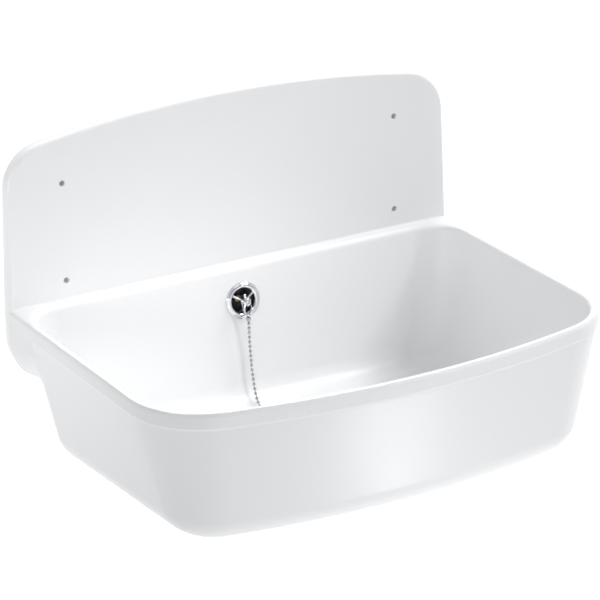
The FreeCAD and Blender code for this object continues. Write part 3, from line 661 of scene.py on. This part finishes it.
for i, s in enumerate(bead_s):
    c = at_len(ALL_P, ALL_L, s)
    d = at_len(ALL_P, ALL_L, s + 1.5) - at_len(ALL_P, ALL_L, s - 1.5)
    d = d / np.linalg.norm(d)
    d = d + rng.normal(0, 0.035, 3)
    add_geo("upper" if s < LU[-1] else "lower", bead_geometry(c, d, rng.uniform(0, 6.28)))
cuts = [-0.0] + bead_s + [TOTAL]
for a, b in zip(cuts[:-1], cuts[1:]):
    pa, pb = at_len(ALL_P, ALL_L, a), at_len(ALL_P, ALL_L, b)
    add_geo("upper" if 0.5 * (a + b) < LU[-1] else "lower", rod_geometry(pa, pb))
chain_u = make_mesh("chain_upper_balls", *geo["upper"], None, "chain_metal")
chain_l = make_mesh("chain_lower_balls", *geo["lower"], None, "chain_metal")
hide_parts("chain_upper")
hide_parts("chain_lower")
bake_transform(chain_u)
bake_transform(chain_l)

BELL = spline([(0.75, 6.35), (1.25, 6.55), (1.85, 6.0), (2.45, 5.1), (2.8, 3.9), (2.9, 3.0), (2.8, 1.9), (2.45, 0.9), (2.05, 0.35), (1.55, 0.05)], 5)


def bell(name, base, direction, slot):
    prof = [(0.0, 0.6), (1.2, 0.55)] + [(r, z) for r, z in BELL[::-1]] + [(0.0, 5.9)]
    prof = [(0.0, 0.6), (1.05, 0.55)] + [(r, z) for r, z in BELL[::-1]] + [(0.5, 6.0), (0.0, 6.0)]
    return lathe(name, prof, slot, base, direction, 40)


du = np.array(UP_PTS[0]) - np.array(UP_PTS[1])
dl = np.array(LOW_PTS[-1]) - np.array(LOW_PTS[-2])
bell_u = bell("chain_bell_upper", UP_PTS[0], du, "chain_metal")
bell_l = bell("chain_bell_lower", LOW_PTS[-1], dl, "chain_metal")
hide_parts("chain_end_upper")
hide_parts("chain_end_lower")
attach(bell_u, "link")
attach(bell_l, "plug")


# ------------------------------------------------------------------ the white moulding
RIM = -83.5
HS, HM, YMID = -19.7, 173.7, -245.25
TILT = math.radians(-1.589)


def outline_sd(x, y, hf, hr, yf, yb, rc, rb, bow):
    """Signed distance in plan to the bowl's outline, and how far its nearest wall faces the rear (0 to 1)."""
    oy = yf + bow
    dx, dy = hr - hf, yb - yf
    ln = np.hypot(dx, dy)
    d0, d1 = dx / ln, dy / ln
    nx, ny = d1, -d0
    ax, ay = hf - nx * rc, yf - ny * rc
    k = bow - rc
    bx, by = ax, ay - oy
    bq = bx * d0 + by * d1
    cq = bx * bx + by * by - k * k
    s = -bq - np.sqrt(bq * bq - cq)
    fx, fy = ax + s * d0, ay + s * d1
    s2 = (yb - rb - (yf - ny * rb)) / d1
    gx, gy = hf - nx * rb + s2 * d0, yb - rb
    dl_ = (x - hf) * nx + (y - yf) * ny
    db_ = np.hypot(x, y - oy) - bow
    dk_ = y - yb
    d = np.maximum(np.maximum(dl_, db_), dk_)
    face = np.where(dk_ >= np.maximum(dl_, db_), 1.0, 0.0)
    n1x, n1y = fx / k, (fy - oy) / k
    vx, vy = x - fx, y - fy
    m1 = (n1x * vy - n1y * vx >= 0) & (vx * ny - vy * nx >= 0)
    d = np.where(m1, np.hypot(vx, vy) - rc, d)
    face = np.where(m1, 0.0, face)
    vx, vy = x - gx, y - gy
    m2 = (nx * vy - ny * vx >= 0) & (vx >= 0)
    ll = np.hypot(vx, vy)
    d = np.where(m2, ll - rb, d)
    face = np.where(m2, vy / np.maximum(ll, 1e-6), face)
    return d, face


def tray_sd(x, z):
    R, zt, rc = 1490.0, RIM + 217.5, 57.0
    h0, h1, zsh = 300.0, 295.6, RIM + 141.0
    dx, dz = h1 - h0, zsh - RIM
    ln = math.hypot(dx, dz)
    d0, d1 = dx / ln, dz / ln
    nx, nz = d1, -d0
    oz = zt - R
    ax, az = h0 - nx * rc, RIM - nz * rc
    k = R - rc
    bq = ax * d0 + (az - oz) * d1
    cq = ax * ax + (az - oz) ** 2 - k * k
    s = -bq + math.sqrt(bq * bq - cq)
    cx, cz = ax + s * d0, az + s * d1
    zl = RIM - 95.5
    side = np.where(z > RIM, (x - h0) * nx + (z - RIM) * nz, x - h0)
    d = np.maximum(np.maximum(side, np.hypot(x, z - oz) - R), zl - z)
    n2x, n2z = cx / k, (cz - oz) / k
    vx, vz = x - cx, z - cz
    m1 = (nx * vz - nz * vx >= 0) & (vx * n2z - vz * n2x >= 0)
    d = np.where(m1, np.hypot(vx, vz) - rc, d)
    vx, vz = x - (h0 - rc), z - (zl + rc)
    m2 = (vx >= 0) & (vz <= 0)
    return np.where(m2, np.hypot(vx, vz) - rc, d)


OV = (np.array([0, -37.18493, -128.0]), np.array([1.0, 0, 0]), np.array([0, 0.1275237, 0.9918355]), np.array([0, -0.9918355, 0.1275237]))
DR_Y = -132.0
SEAT = RIM - 179.0


def back_y(h):
    return -29.0 - 20.5 * (HS - h) / 154.0


def sink_field(x, y, z):
    x = np.abs(x)
    hz = z - RIM
    h = hz + 0.0 * y
    for _ in range(4):
        fr = np.maximum(0.0, (HS - h) / 154.0)
        h = hz - (y - YMID) * np.tan(TILT * np.minimum(fr, 1.1))
    fr = np.minimum(np.maximum(0.0, (HS - h) / 154.0), 1.1)
    yy = YMID + (y - YMID) / np.cos(TILT * fr)
    # bowl, outside
    yb = np.where(h > HS, -29.0, back_y(h))
    O, _f = outline_sd(x, yy, 298.3 - 38.8 * fr, 298.3 - 31.0 * fr, -438.6 + 21.9 * fr, yb, 92 - 33.5 * fr, 51 - 9 * fr, 991.0)
    O = rint(O, -HM - h, 33.0)
    t = np.clip((h - HS) / (-3.0 - HS), 0, 1.4)
    ybf = np.where(h > HS, -29.0 + 4.5 * t * t, back_y(h))
    OF, _f = outline_sd(x, yy, 298.3 - 38.8 * fr, 298.3 - 31.0 * fr, -438.6 + 21.9 * fr, ybf, 92 - 33.5 * fr, 51 - 9 * fr, 991.0)
    OF = rint(OF, -HM - h, 33.0)
    # bowl, inside
    t = np.maximum(0.0, -9.0 - h)
    g = np.where(t < 25, t * t / 50.0, t - 12.5)
    I, face = outline_sd(x, yy, 290 - 0.25 * g, 290 - 0.20 * g, -430.5 + 0.14 * g, back_y(np.minimum(h, 0)) - 5.0,
                         82 - 33.5 * fr, 46 - 7 * fr, 981.0)
    I = rint(I, -(HM - 6.0) - h, 28.0)
    H = rint(hz, -I, 4.9 + 4.1 * smooth01(0.10, 0.85, face))
    # band under the rim
    dB, _f = outline_sd(x, y, 300.0, 300.0, -440.5, -16.5, 92.0, 1.0, 991.0)
    B = rint(hz, dB, 4.9)
    B = np.maximum(B, np.maximum((2.2 * dB + 1.9 * (-17.5 - hz)) / 2.907, -19.7 - hz))
    # splash panel and wall tray
    dT = tray_sd(x, z)
    T = rint(-21.5 - y, dT + 0.183 * np.maximum(y + 16.5, 0), 5.0)
    T = rint(T, y + 0.0 * z, 1.0)
    TL = np.maximum((dT + np.maximum(9.0 - (y + 75.0) * 0.1513, 0.3)) * 0.989, np.maximum(-75.0 - y, y + 17.5))
    TL = np.maximum(TL, hz + 14.0)
    M = runion(B, O, 1.2)
    M = smin(M, TL, 10.0 * smooth01(-20.0, -45.0, h) + 0.4)
    rd = np.hypot(x, y - DR_Y)
    boss = np.maximum(np.maximum(((rd - 44.0) * 10 - (z + 268.5) * 9) / 13.454, -268.5 - z), z + 257.0)
    M = smin(M, boss, 4.0)
    M = np.maximum(M, H)
    body = runion(T, M, 3.2 * smooth01(300.0, 286.0, x) + 1e-3)
    # hollow behind the panel and behind the bowl, open to the wall
    cu_ = rint(dT + 4.5 + 0.1905 * np.maximum(y + 15.0, 0), -17.0 - y, 2.0)
    ins = np.where(y < -17.5, 13.5 - (y + 75.0) * 0.1513, 4.8 + (y + 17.5) * 0.157)
    cl_ = rint(dT + ins, np.maximum(hz + 4.5, -75.0 - y), 2.0)
    cav = smax(smin(cu_, cl_, 3.0), -OF, 5.0)
    body = rint(body, -cav, 0.8)
    notch = rint(x - 85.0, np.abs(z - (RIM - 88.0)) - 12.5, 5.0)
    notch = np.maximum(np.maximum(notch, -OF), -80.0 - y)
    body = rint(body, -notch, 0.8)
    # bosses and ribs behind the panel
    rh = np.hypot(x - 225.0, np.abs(z) - 60.0)
    bs_ = np.maximum(rh - 9.0, np.maximum(-18.6 - y, y + 0.0))
    body = smin(body, bs_, 2.4)
    rib = np.maximum(np.maximum(np.abs(x - 150.0) - 1.5, np.abs(z - (RIM + 102.0)) - 94.0), np.maximum(-18.6 - y, y + 2.0))
    body = smin(body, rib, 2.0)
    body = rint(body, -(rh - 3.4), 0.7)
    # overflow hole
    py, pz = y - OV[0][1], z - OV[0][2]
    u = py * OV[2][1] + pz * OV[2][2]
    w = py * OV[3][1] + pz * OV[3][2]
    hole = np.maximum(np.hypot(x, u) - 17.0, np.abs(w + 4.0) - 10.0)
    body = rint(body, -hole, 0.6)
    # funnel and hole at the drain
    fun = np.maximum(((rd - 38.0) * 8.7 - (z + 261.7) * 11) / 14.02, np.maximum(-262.5 - z, z + 248.0))
    body = rint(body, -fun, 2.0)
    body = rint(body, -np.maximum(rd - 26.0, z + 250.0), 0.6)
    return body


XS = axis_points((0, 56, 2.5), (56, 80, 3.4), (80, 90, 0.9), (90, 146, 3.7), (146, 154, 1.0), (154, 200, 4.6), (200, 216, 3.2), (216, 234, 1.0), (234, 279, 3.0), (279, 304, 1.5))
YS = axis_points((-444, -396, 2.0), (-396, -345, 3.0), (-345, -185, 5.0), (-185, -60, 3.0), (-60, -24, 1.5), (-24, 3, 1.2))
ZS = axis_points((-272, -226, 2.0), (-226, -186, 3.1), (-186, -170, 2.0), (-170, -148, 3.1), (-148, -108, 2.0), (-108, -90.2, 1.2), (-90.2, -83.2, 0.5), (-83.2, -77, 1.0),
                 (-77, -66, 3.0), (-66, -54, 1.0), (-54, 54, 4.5), (54, 66, 1.0), (66, 84, 4.0), (84, 138, 2.0))
body = sdf_mesh("sink_body_moulding", sink_field, XS, YS, ZS, "white_plastic", mirror=True, eps=0.35, steps=3, cap=1.5)
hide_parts("sink_body")
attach(body, "root")


# ------------------------------------------------------------------ overflow rosette
ROS_RING = spline([(23.0, 0.05), (23.0, 0.75), (22.75, 1.2), (22.3, 1.42), (21.85, 1.45)], 4)[:-1] + \
    spline([(21.85, 1.45), (21.45, 1.3), (21.25, 1.45), (20.9, 1.95), (20.3, 2.5), (19.4, 2.98), (18.5, 3.12), (17.6, 2.95), (16.8, 2.5), (16.1, 1.8), (15.7, 0.9), (15.6, 0.1)], 4) + \
    [(15.6, -6.0), (16.7, -6.0), (16.7, 0.05)]


def rosette_field(x, u, w):
    r = np.hypot(x, u)
    ring = sd_poly(r, w, ROS_RING)
    hub = np.maximum(np.maximum(r - 4.8, 1.6 - w), w - 10.6)
    hub = rint(np.maximum(r - 4.8, ((r - 4.8) * 1.7 + (w - 8.9) * 1.2) / 2.081), np.maximum(1.6 - w, w - 10.6), 0.4)
    f = ring
    for a in (150, 30, 270):
        c, s = math.cos(math.radians(a)), math.sin(math.radians(a))
        al, ac = x * c + u * s, -x * s + u * c
        # along the spoke: from (3, 3.7) down to (16.4, 0.9)
        dx, dw = 13.4, -2.8
        ll = math.hypot(dx, dw)
        t = ((al - 3.0) * dx + (w - 3.7) * dw) / ll
        n = (-(al - 3.0) * dw + (w - 3.7) * dx) / ll
        qx, qy, qz = np.abs(t - ll / 2) - ll / 2 - 0.4, np.abs(ac) - 1.15 + 0.55, np.abs(n) - 1.25 + 0.55
        sp = np.sqrt(np.maximum(qx, 0) ** 2 + np.maximum(qy, 0) ** 2 + np.maximum(qz, 0) ** 2) + np.minimum(np.maximum(qx, np.maximum(qy, qz)), 0) - 0.55
        f = smin(f, sp, 1.1)
    f = smin(f, hub, 1.0)
    tx, tu, tw = np.abs(x) - 0.9, np.abs(u - 6.0) - 2.4, np.abs(w - 5.3) - 1.5
    tab = np.sqrt(np.maximum(tx, 0) ** 2 + np.maximum(tu, 0) ** 2 + np.maximum(tw, 0) ** 2) + np.minimum(np.maximum(tx, np.maximum(tu, tw)), 0) - 0.6
    f = smin(f, tab, 0.7)
    return np.maximum(f, -(r - 2.45))


ros = sdf_mesh("overflow_rosette_cast", rosette_field, axis_points((-24, 24, 0.45)), axis_points((-24, 24, 0.45)),
               axis_points((-6.6, -0.6, 1.2), (-0.6, 11.4, 0.3)), "chrome", OV, eps=0.06, cap=0.4)
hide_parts("overflow_rosette")
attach(ros, "root")


def screw_field(x, u, w):
    r = np.hypot(x, u)
    dome = np.hypot(r, w - 6.35) - 7.95            # domed top through (0, 14.3) and (4.9, ~12.6)
    head = rint(rint(r - 4.9, dome, 0.7), 10.6 - w, 0.25)
    shank = np.maximum(r - 2.3, np.maximum(w - 11.0, -26.0 - w))
    f = np.minimum(head, shank)
    c1 = rint(np.abs(x) - 2.75, np.abs(u) - 0.62, 0.2)
    c2 = rint(np.abs(x) - 0.62, np.abs(u) - 2.75, 0.2)
    cone = (r - 1.6 - (w - 12.2) * 0.6) * 0.86
    cross = np.maximum(np.minimum(c1, c2), 12.3 - w)
    cross = np.minimum(cross, np.maximum(cone, 12.0 - w))
    return rint(f, -cross, 0.12)


scr = sdf_mesh("overflow_screw_head", screw_field, axis_points((-5.4, 5.4, 0.2)), axis_points((-5.4, 5.4, 0.2)),
               axis_points((-26.6, 9.8, 1.6), (9.8, 14.8, 0.2)), "chrome_screw", OV, eps=0.04, cap=0.3)
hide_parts("overflow_screw")
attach(scr, "root")

# link: flat strap bent to a V, hung on two pins in the sides of the hub
LEAN = math.radians(22.4)
LD = np.array([0.0, -math.sin(LEAN), -math.cos(LEAN)])
LK = (np.array([0, -44.12778, -127.10733]), np.array([1.0, 0, 0]), LD, np.cross(np.array([1.0, 0, 0]), LD))
STRAP = fillet_profile([(-5.75, 0.0), (-5.75, 8.5, 3.2), (0.0, 18.95, 1.7), (5.75, 8.5, 3.2), (5.75, 0.0)], False, 8)


def link_field(x, v, w):
    dc = sd_line(x, v, STRAP)
    strap = rint(dc - 0.45, np.abs(w) - 1.7 + 0.0 * v, 0.28)
    strap = np.maximum(strap, -v - 1.0)
    ex = np.abs(np.abs(x) - 5.75)
    eye = rint(np.hypot(v, w) - 2.3, ex - 0.45, 0.25)
    pin = np.maximum(np.hypot(v, w) - 0.85, np.maximum(3.2 - np.abs(x), np.abs(x) - 6.45))
    f = smin(strap, eye, 0.3)
    return np.minimum(f, pin)


lnk = sdf_mesh("chain_link_strap", link_field, axis_points((-7.2, 7.2, 0.22)), axis_points((-3, 20.4, 0.26)),
               axis_points((-2.7, 2.7, 0.22)), "chrome", LK, eps=0.04, cap=0.3)
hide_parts("chain_link")
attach(lnk, "link")


# ------------------------------------------------------------------ behind the bowl: gasket, elbow, pipe, collars
def on_ov(x, u, w):
    return tuple(OV[0] + OV[1] * x + OV[2] * u + OV[3] * w)


gas = lathe("overflow_gasket_ring", fillet_profile([(17.3, -7.6, 0.4), (25.0, -7.6, 0.7), (25.0, -5.1, 0.7), (17.3, -5.1, 0.4)], True, 4),
            "gasket_rubber", OV[0], OV[3], 96)
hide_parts("overflow_gasket")
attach(gas, "root")
W0 = -7.6
SPIG_Y = on_ov(0, 0, W0 - 12.5)[1]
SPIG_TOP = RIM - 44.5


def elbow_field(x, y, z):
    py, pz = y - OV[0][1], z - OV[0][2]
    u = py * OV[2][1] + pz * OV[2][2]
    w = py * OV[3][1] + pz * OV[3][2]
    r = np.hypot(x, u)
    fl = rint(r - 25.0, np.abs(w - (W0 - 1.5)) - 1.5, 0.6)
    cup = rint(r - 18.7, np.maximum(W0 - 21.0 - w, w - (W0 - 1.0)), 2.0)
    f = smin(fl, cup, 2.2)
    rs = np.hypot(x, y - SPIG_Y)
    sp = np.maximum(rs - 9.0, np.maximum(z - SPIG_TOP, (SPIG_TOP - 42.0) - z))
    f = smin(f, sp, 2.5)
    # grip ribs round the cup
    a = np.arctan2(u, x)
    rib = np.maximum(np.maximum(r - 19.5, np.abs(np.sin(a * 6)) * r / 6 - 0.8), np.maximum(W0 - 19.0 - w, w - (W0 - 2.0)))
    f = smin(f, rib, 0.8)
    f = np.maximum(f, -np.maximum(r - 16.3, W0 - 18.6 - w))
    f = np.maximum(f, -np.maximum(rs - 7.2, z - SPIG_TOP))
    core = np.maximum(r - 4.8, np.maximum(W0 - 20.0 - w, w - (W0 - 4.5)))
    web = np.maximum(np.maximum(np.abs(u) - 1.0, np.abs(x) - 16.6), np.maximum(W0 - 20.0 - w, w - (W0 - 10.0)))
    inner = smin(core, web, 1.0)
    f = smin(f, inner, 0.8)
    return np.maximum(f, -np.maximum(r - 2.6, W0 - 17.0 - w))


elb = sdf_mesh("overflow_elbow_moulding", elbow_field, axis_points((-26, 26, 0.8)), axis_points((-34.5, -0.5, 0.8)),
               axis_points((-171.2, -102.5, 0.9)), "black_plastic", eps=0.1, cap=0.8)
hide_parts("overflow_elbow")
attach(elb, "root")

# corrugated pipe
HOSE_TOP = SPIG_TOP - 30.0
IN_H = RIM - 208.0
IN_END = DR_Y + 52.0
BEND = 38.0
arcL = BEND * math.pi / 2
run1 = HOSE_TOP - (IN_H + BEND)
run2 = (SPIG_Y - BEND) - (IN_END - 14.0)
hose_len = run1 + arcL + run2


def hose_at(s):
    if s <= run1:
        return (0.0, SPIG_Y, HOSE_TOP - s)
    if s <= run1 + arcL:
        a = (s - run1) / BEND
        return (0.0, SPIG_Y - BEND + BEND * math.cos(a), IN_H + BEND - BEND * math.sin(a))
    return (0.0, SPIG_Y - BEND - (s - run1 - arcL), IN_H)


cs, rs_ = [], []
steps = int(hose_len / 0.34)
PITCH_H = 3.45
n_rib = int((hose_len - 2 * 13.5) / PITCH_H)
s_a = (hose_len - n_rib * PITCH_H) / 2
for i in range(steps + 1):
    s = hose_len * i / steps
    cs.append(hose_at(s))
    if s < s_a or s > hose_len - s_a:
        rs_.append(11.4)
    else:
        ph = ((s - s_a) / PITCH_H) % 1.0
        c = 0.5 - 0.5 * math.cos(2 * math.pi * ph)           # 0 at the ends of a pitch, 1 in its middle
        rs_.append(11.4 - 1.75 * (c ** 0.7))
hose = tube("overflow_pipe", cs, rs_, "hose_plastic", 40)
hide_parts("overflow_hose")
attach(hose, "root")


def collar(name, origin, axis, node):
    prof = fillet_profile([(11.45, 0.0, 0.3), (13.2, 0.0, 0.5), (14.2, 1.2, 0.5), (14.2, 10.8, 0.5), (13.2, 12.0, 0.5), (11.45, 12.0, 0.3)], True, 4)
    prof = [p for p in prof]
    fine = []
    for i in range(len(prof)):
        a, b = np.array(prof[i]), np.array(prof[(i + 1) % len(prof)])
        k = max(1, int(np.linalg.norm(b - a) / 1.2))
        for j in range(k):
            fine.append(tuple(a + (b - a) * j / k))

    def radial(w, r, z):
        if r < 12.5 or z < 1.5 or z > 10.5:
            return r
        c = abs(math.sin(w * 12))
        return r - 0.8 * min(1.0, max(0.0, (0.45 - c) / 0.3)) * min(1.0, (z - 1.5) / 1.0, (10.5 - z) / 1.0 + 0.2)
    ob = lathe(name, fine, "collar_plastic", origin, axis, 192, radial)
    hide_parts(node)
    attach(ob, "root")
    return ob


collar("pipe_collar_upper", (0, SPIG_Y, HOSE_TOP - 12.0), (0, 0, 1), "hose_collar_upper")
collar("pipe_collar_lower", (0, IN_END - 14.0, IN_H), (0, 1, 0), "hose_collar_lower")


# ------------------------------------------------------------------ waste
def strainer_field(x, y, z):
    r = np.hypot(x, y)
    prof = spline([(35.0, 1.5), (34.7, 2.1), (33.6, 2.6), (31.0, 2.88), (28.0, 2.85), (25.6, 2.6), (24.2, 2.0), (23.6, 1.0)], 4) + \
        [(22.4, -11.0), (21.8, -12.0), (0.0, -12.2), (0.0, -13.4), (22.4, -13.4), (23.2, -12.8), (24.6, 0.9), (26.2, 1.5)]
    f = sd_poly(r, z, prof)
    a = np.arctan2(y, x)
    for k, (rr, cnt, hr) in enumerate(((8.6, 8, 1.9), (14.2, 12, 2.2), (19.0, 16, 1.9))):
        st = 2 * math.pi / cnt
        o = 0.5 * (k % 2)
        aa = (np.mod(a / st - o + 0.5, 1.0) - 0.5) * st
        hx, hy = r * np.cos(aa) - rr, r * np.sin(aa)
        f = rint(f, -np.maximum(np.hypot(hx, hy) - hr, z + 8.0), 0.25)
    return np.maximum(f, -(r - 3.1))


st = sdf_mesh("waste_strainer_pressing", strainer_field, axis_points((-36, 36, 0.7)), axis_points((-36, 36, 0.7)),
              axis_points((-14.2, -10.4, 0.4), (-10.4, -0.4, 1.0), (-0.4, 3.6, 0.33)), "steel",
              ((0, DR_Y, SEAT), (1, 0, 0), (0, 1, 0), (0, 0, 1)), eps=0.06, cap=0.5)
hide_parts("waste_strainer")
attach(st, "root")

bg = lathe("waste_bottom_gasket_ring", fillet_profile([(27.0, -9.0, 0.5), (38.0, -9.0, 0.9), (38.0, -6.0, 0.9), (27.0, -6.0, 0.5)], True, 4),
           "gasket_rubber", (0, DR_Y, SEAT), (0, 0, 1), 96)
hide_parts("waste_bottom_gasket")
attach(bg, "root")
tg = lathe("waste_top_gasket_ring", fillet_profile([(26.5, 0.0, 0.3), (33.5, 0.0, 0.5), (33.5, 1.5, 0.5), (26.5, 1.5, 0.3)], True, 4),
           "gasket_rubber", (0, DR_Y, SEAT), (0, 0, 1), 96)
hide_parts("waste_top_gasket")
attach(tg, "root")

B0 = -9.0
IN_Z = IN_H - SEAT


def waste_field(x, y, z):
    r = np.hypot(x, y)
    fl = rint(r - 38.0, np.abs(z - (B0 - 2.0)) - 2.0, 0.8)
    cup = rint(r - 30.0, np.abs(z - (B0 - 19.0)) - 19.0, 1.0)
    cone = np.maximum((8 * (r - 30.0) - 9 * (z - (B0 - 38.0))) / 12.04, np.maximum((B0 - 46.5) - z, z - (B0 - 37.5)))
    a = np.arctan2(y, x)
    # outlet thread, 2.31 mm pitch, faded at both ends
    ph = np.mod(z / 2.31 - a / (2 * math.pi), 1.0)
    tri = np.abs(ph - 0.5) * 2.0
    zt0, zt1 = B0 - 72.0, B0 - 48.5
    amp = 1.25 * np.clip((z - zt0 - 0.8) / 1.6, 0, 1) * np.clip((zt1 - z) / 1.6, 0, 1) + 0.0
    rt = 23.9 - amp * np.clip(tri * 1.25 - 0.12, 0, 1)
    th = rint((r - rt) * 0.75, np.maximum((B0 - 72.0) - z, z - (B0 - 44.0)), 0.4)
    f = smin(fl, cup, 2.0)
    f = smin(f, cone, 1.2)
    f = smin(f, th, 0.8)
    # ribs down the cup
    rib = np.maximum(np.maximum(r - 32.2, np.abs(np.sin(a * 4)) * r / 4 - 1.1), np.maximum((B0 - 37.0) - z, z - (B0 - 3.0)))
    f = smin(f, rib, 1.2)
    ri = np.hypot(x, z - IN_Z)
    inl = np.maximum(ri - 9.0, np.maximum(-y, y - 52.0))
    sl = rint(ri - 12.0, np.maximum(-y, y - 34.0), 1.0)
    f = smin(f, sl, 2.5)
    f = smin(f, rint(inl, y - 52.0, 0.6), 0.8)
    f = rint(f, -np.maximum(r - 27.0, (B0 - 38.0) - z), 0.5)
    f = np.maximum(f, -np.maximum((8 * (r - 27.0) - 8.5 * (z - (B0 - 38.0))) / 11.67, np.maximum((B0 - 46.5) - z, z - (B0 - 38.0))))
    f = rint(f, -np.maximum(r - 20.0, z - (B0 - 44.0)), 0.5)
    f = rint(f, -np.maximum(ri - 7.2, 2.0 - y), 0.4)
    webs = np.maximum(r - 6.5, np.abs(z - (B0 - 25.0)) - 9.0)
    for d in (30, 150, 270):
        c, s = math.cos(math.radians(d)), math.sin(math.radians(d))
        al, ac = x * c + y * s, -x * s + y * c
        webs = smin(webs, np.maximum(np.maximum(np.abs(ac) - 1.2, np.abs(al - 14.0) - 14.0), np.abs(z - (B0 - 26.0)) - 7.0), 0.8)
    f = smin(f, webs, 0.8)
    return np.maximum(f, -np.maximum(r - 4.2, (B0 - 32.0) - z))


wst = sdf_mesh("waste_body_moulding", waste_field, axis_points((-39, 39, 1.0)), axis_points((-39, 53.5, 1.0)),
               axis_points((-82.2, -55.0, 0.38), (-55.0, -8.2, 0.95)), "waste_plastic",
               ((0, DR_Y, SEAT), (1, 0, 0), (0, 1, 0), (0, 0, 1)), eps=0.08, cap=0.6)
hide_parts("waste_body")
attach(wst, "root")

# ------------------------------------------------------------------ plug, eyelet, ring
G = 0.3
plug_prof = fillet_profile([(0.0, -9.6), (22.2 - G, -9.6, 1.2), (23.0 - G, -2.0), (23.5 - G, 1.9, 0.3), (25.2, 2.7, 0.7), (25.2, 4.7, 0.9), (24.0, 5.9, 1.2),
                            (21.6, 6.25, 1.0), (20.9, 5.75, 0.5), (20.0, 5.75, 0.5), (19.4, 6.35, 0.7), (9.6, 6.85, 1.2), (8.0, 8.1, 0.8), (2.4, 8.4, 0.6), (1.6, 7.9, 0.2), (0.0, 7.9)], False, 5)
plug = lathe("drain_plug_rubber", plug_prof, "plug_rubber", (0, DR_Y, SEAT), (0, 0, 1), 128)
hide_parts("drain_plug")
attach(plug, "plug")


def eyelet_field(x, y, z):
    tor = np.hypot(np.hypot(y, z - 12.6) - 3.6, x) - 1.0
    stem = np.maximum(np.hypot(x, y) - 1.6, np.maximum(z - 9.4, -1.0 - z))
    return smin(tor, stem, 0.9)


eye = sdf_mesh("plug_eyelet_turned", eyelet_field, axis_points((-2.2, 2.2, 0.2)), axis_points((-5.2, 5.2, 0.22)), axis_points((-1.6, 7.4, 0.6), (7.4, 17.8, 0.22)),
               "chrome", ((0, DR_Y, SEAT), (1, 0, 0), (0, 1, 0), (0, 0, 1)), eps=0.04, cap=0.3)
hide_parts("plug_eyelet")
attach(eye, "plug")
rc_ = np.array([0.0, DR_Y + 6.3, SEAT + 13.8])
rax = Vector((0, -0.26, 0.966)).normalized()
ru = np.array(rax.orthogonal().normalized())
rw = np.cross(np.array(rax), ru)
ring_pts, seg_r = [], 64
V_, F_, N_ = [], [], []
for i in range(seg_r):
    a = 2 * math.pi * i / seg_r
    rad = math.cos(a) * ru + math.sin(a) * rw
    c = rc_ + rad * 4.6
    for j in range(16):
        b = 2 * math.pi * j / 16
        n = math.cos(b) * rad + math.sin(b) * np.array(rax)
        V_.append(c + n * 0.7)
        N_.append(n)
for i in range(seg_r):
    for j in range(16):
        i2, j2 = (i + 1) % seg_r, (j + 1) % 16
        F_.append([i * 16 + j, i2 * 16 + j, i2 * 16 + j2, i * 16 + j2])
rng_ob = make_mesh("plug_ring_wire", V_, F_, N_, "chrome")
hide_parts("plug_ring")
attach(rng_ob, "plug")

# ------------------------------------------------------------------ CAD nodes that stay
by_slot = {s["node"]: s["material_slot"] for s in frame["record"]["subparts"]}
for node, ob in frame["nodes"].items():
    for ms in ob.material_slots:
        ms.material = MATS[by_slot[node]]

# ------------------------------------------------------------------ floor and light
mt, nt, bs = new_mat("floor")
v = texco(nt)
nt.links.new(ramp(nt, noise(nt, v, 1.5, 2.0, 0.5), [(0.3, (0.93, 0.93, 0.93)), (0.7, (0.95, 0.95, 0.95))]), bs.inputs["Base Color"])
bs.inputs["Roughness"].default_value = 0.9
bpy.ops.mesh.primitive_plane_add(size=40.0, location=(0, 0, -0.85))
floor = bpy.context.object
floor.name = "floor"
floor.data.materials.append(mt)

world = bpy.data.worlds.new("world")
world.use_nodes = True
bg_ = world.node_tree.nodes["Background"]
bg_.inputs["Color"].default_value = (0.972, 0.984, 1.0, 1.0)
bg_.inputs["Strength"].default_value = 0.47
bpy.context.scene.world = world


def area(name, loc, target, size, energy, size_y=None, color=(1, 1, 1), spread=180):
    la = bpy.data.lights.new(name, "AREA")
    la.shape = "RECTANGLE" if size_y else "DISK"
    la.size = size
    if size_y:
        la.size_y = size_y
    la.energy = energy
    la.color = color
    la.spread = math.radians(spread)
    ob = bpy.data.objects.new(name, la)
    COLL.objects.link(ob)
    ob.location = loc
    ob.rotation_mode = "QUATERNION"
    ob.rotation_quaternion = (Vector(target) - Vector(loc)).to_track_quat("-Z", "Y")
    return ob


def towards(az, el):
    """Unit vector from the sink: azimuth 0 is the front, 90 the right."""
    a_, e_ = math.radians(az), math.radians(el)
    return Vector((math.sin(a_) * math.cos(e_), -math.cos(a_) * math.cos(e_), math.sin(e_)))


C0 = Vector((0.0, -0.24, -0.12))
area("key", C0 + Vector((0.703, -0.060, 0.703)).normalized() * 2.3, C0, 0.46, 17.0)
area("key_behind", C0 + towards(122, 56) * 2.3, C0, 0.70, 10.0)
area("top", C0 + Vector((0.0, 0.0, 2.2)), C0, 1.2, 3.0)
area("side_left", (-1.5, -0.7, 0.1), (-0.26, -0.02, 0.0), 0.5, 0.22, spread=26)
area("low_front", (0.345, -1.03, -0.683), (-0.02, -0.44, -0.19), 0.26, 0.125, spread=60)
area("bounce_front", (-0.2, -1.5, -0.76), (-0.05, -0.42, -0.20), 1.0, 1.7)
area("side_right", (0.9, -0.9, 1.3), (-0.18, -0.12, -0.25), 0.4, 0.25, spread=20)
area("backdrop", (1.2, 4.6, 3.6), (1.4, 2.6, -0.85), 4.5, 75.0, spread=100)

vs = bpy.context.scene.view_settings
vs.view_transform = "Standard"
vs.look = "None"
vs.exposure = 0.2
vs.gamma = 1.0
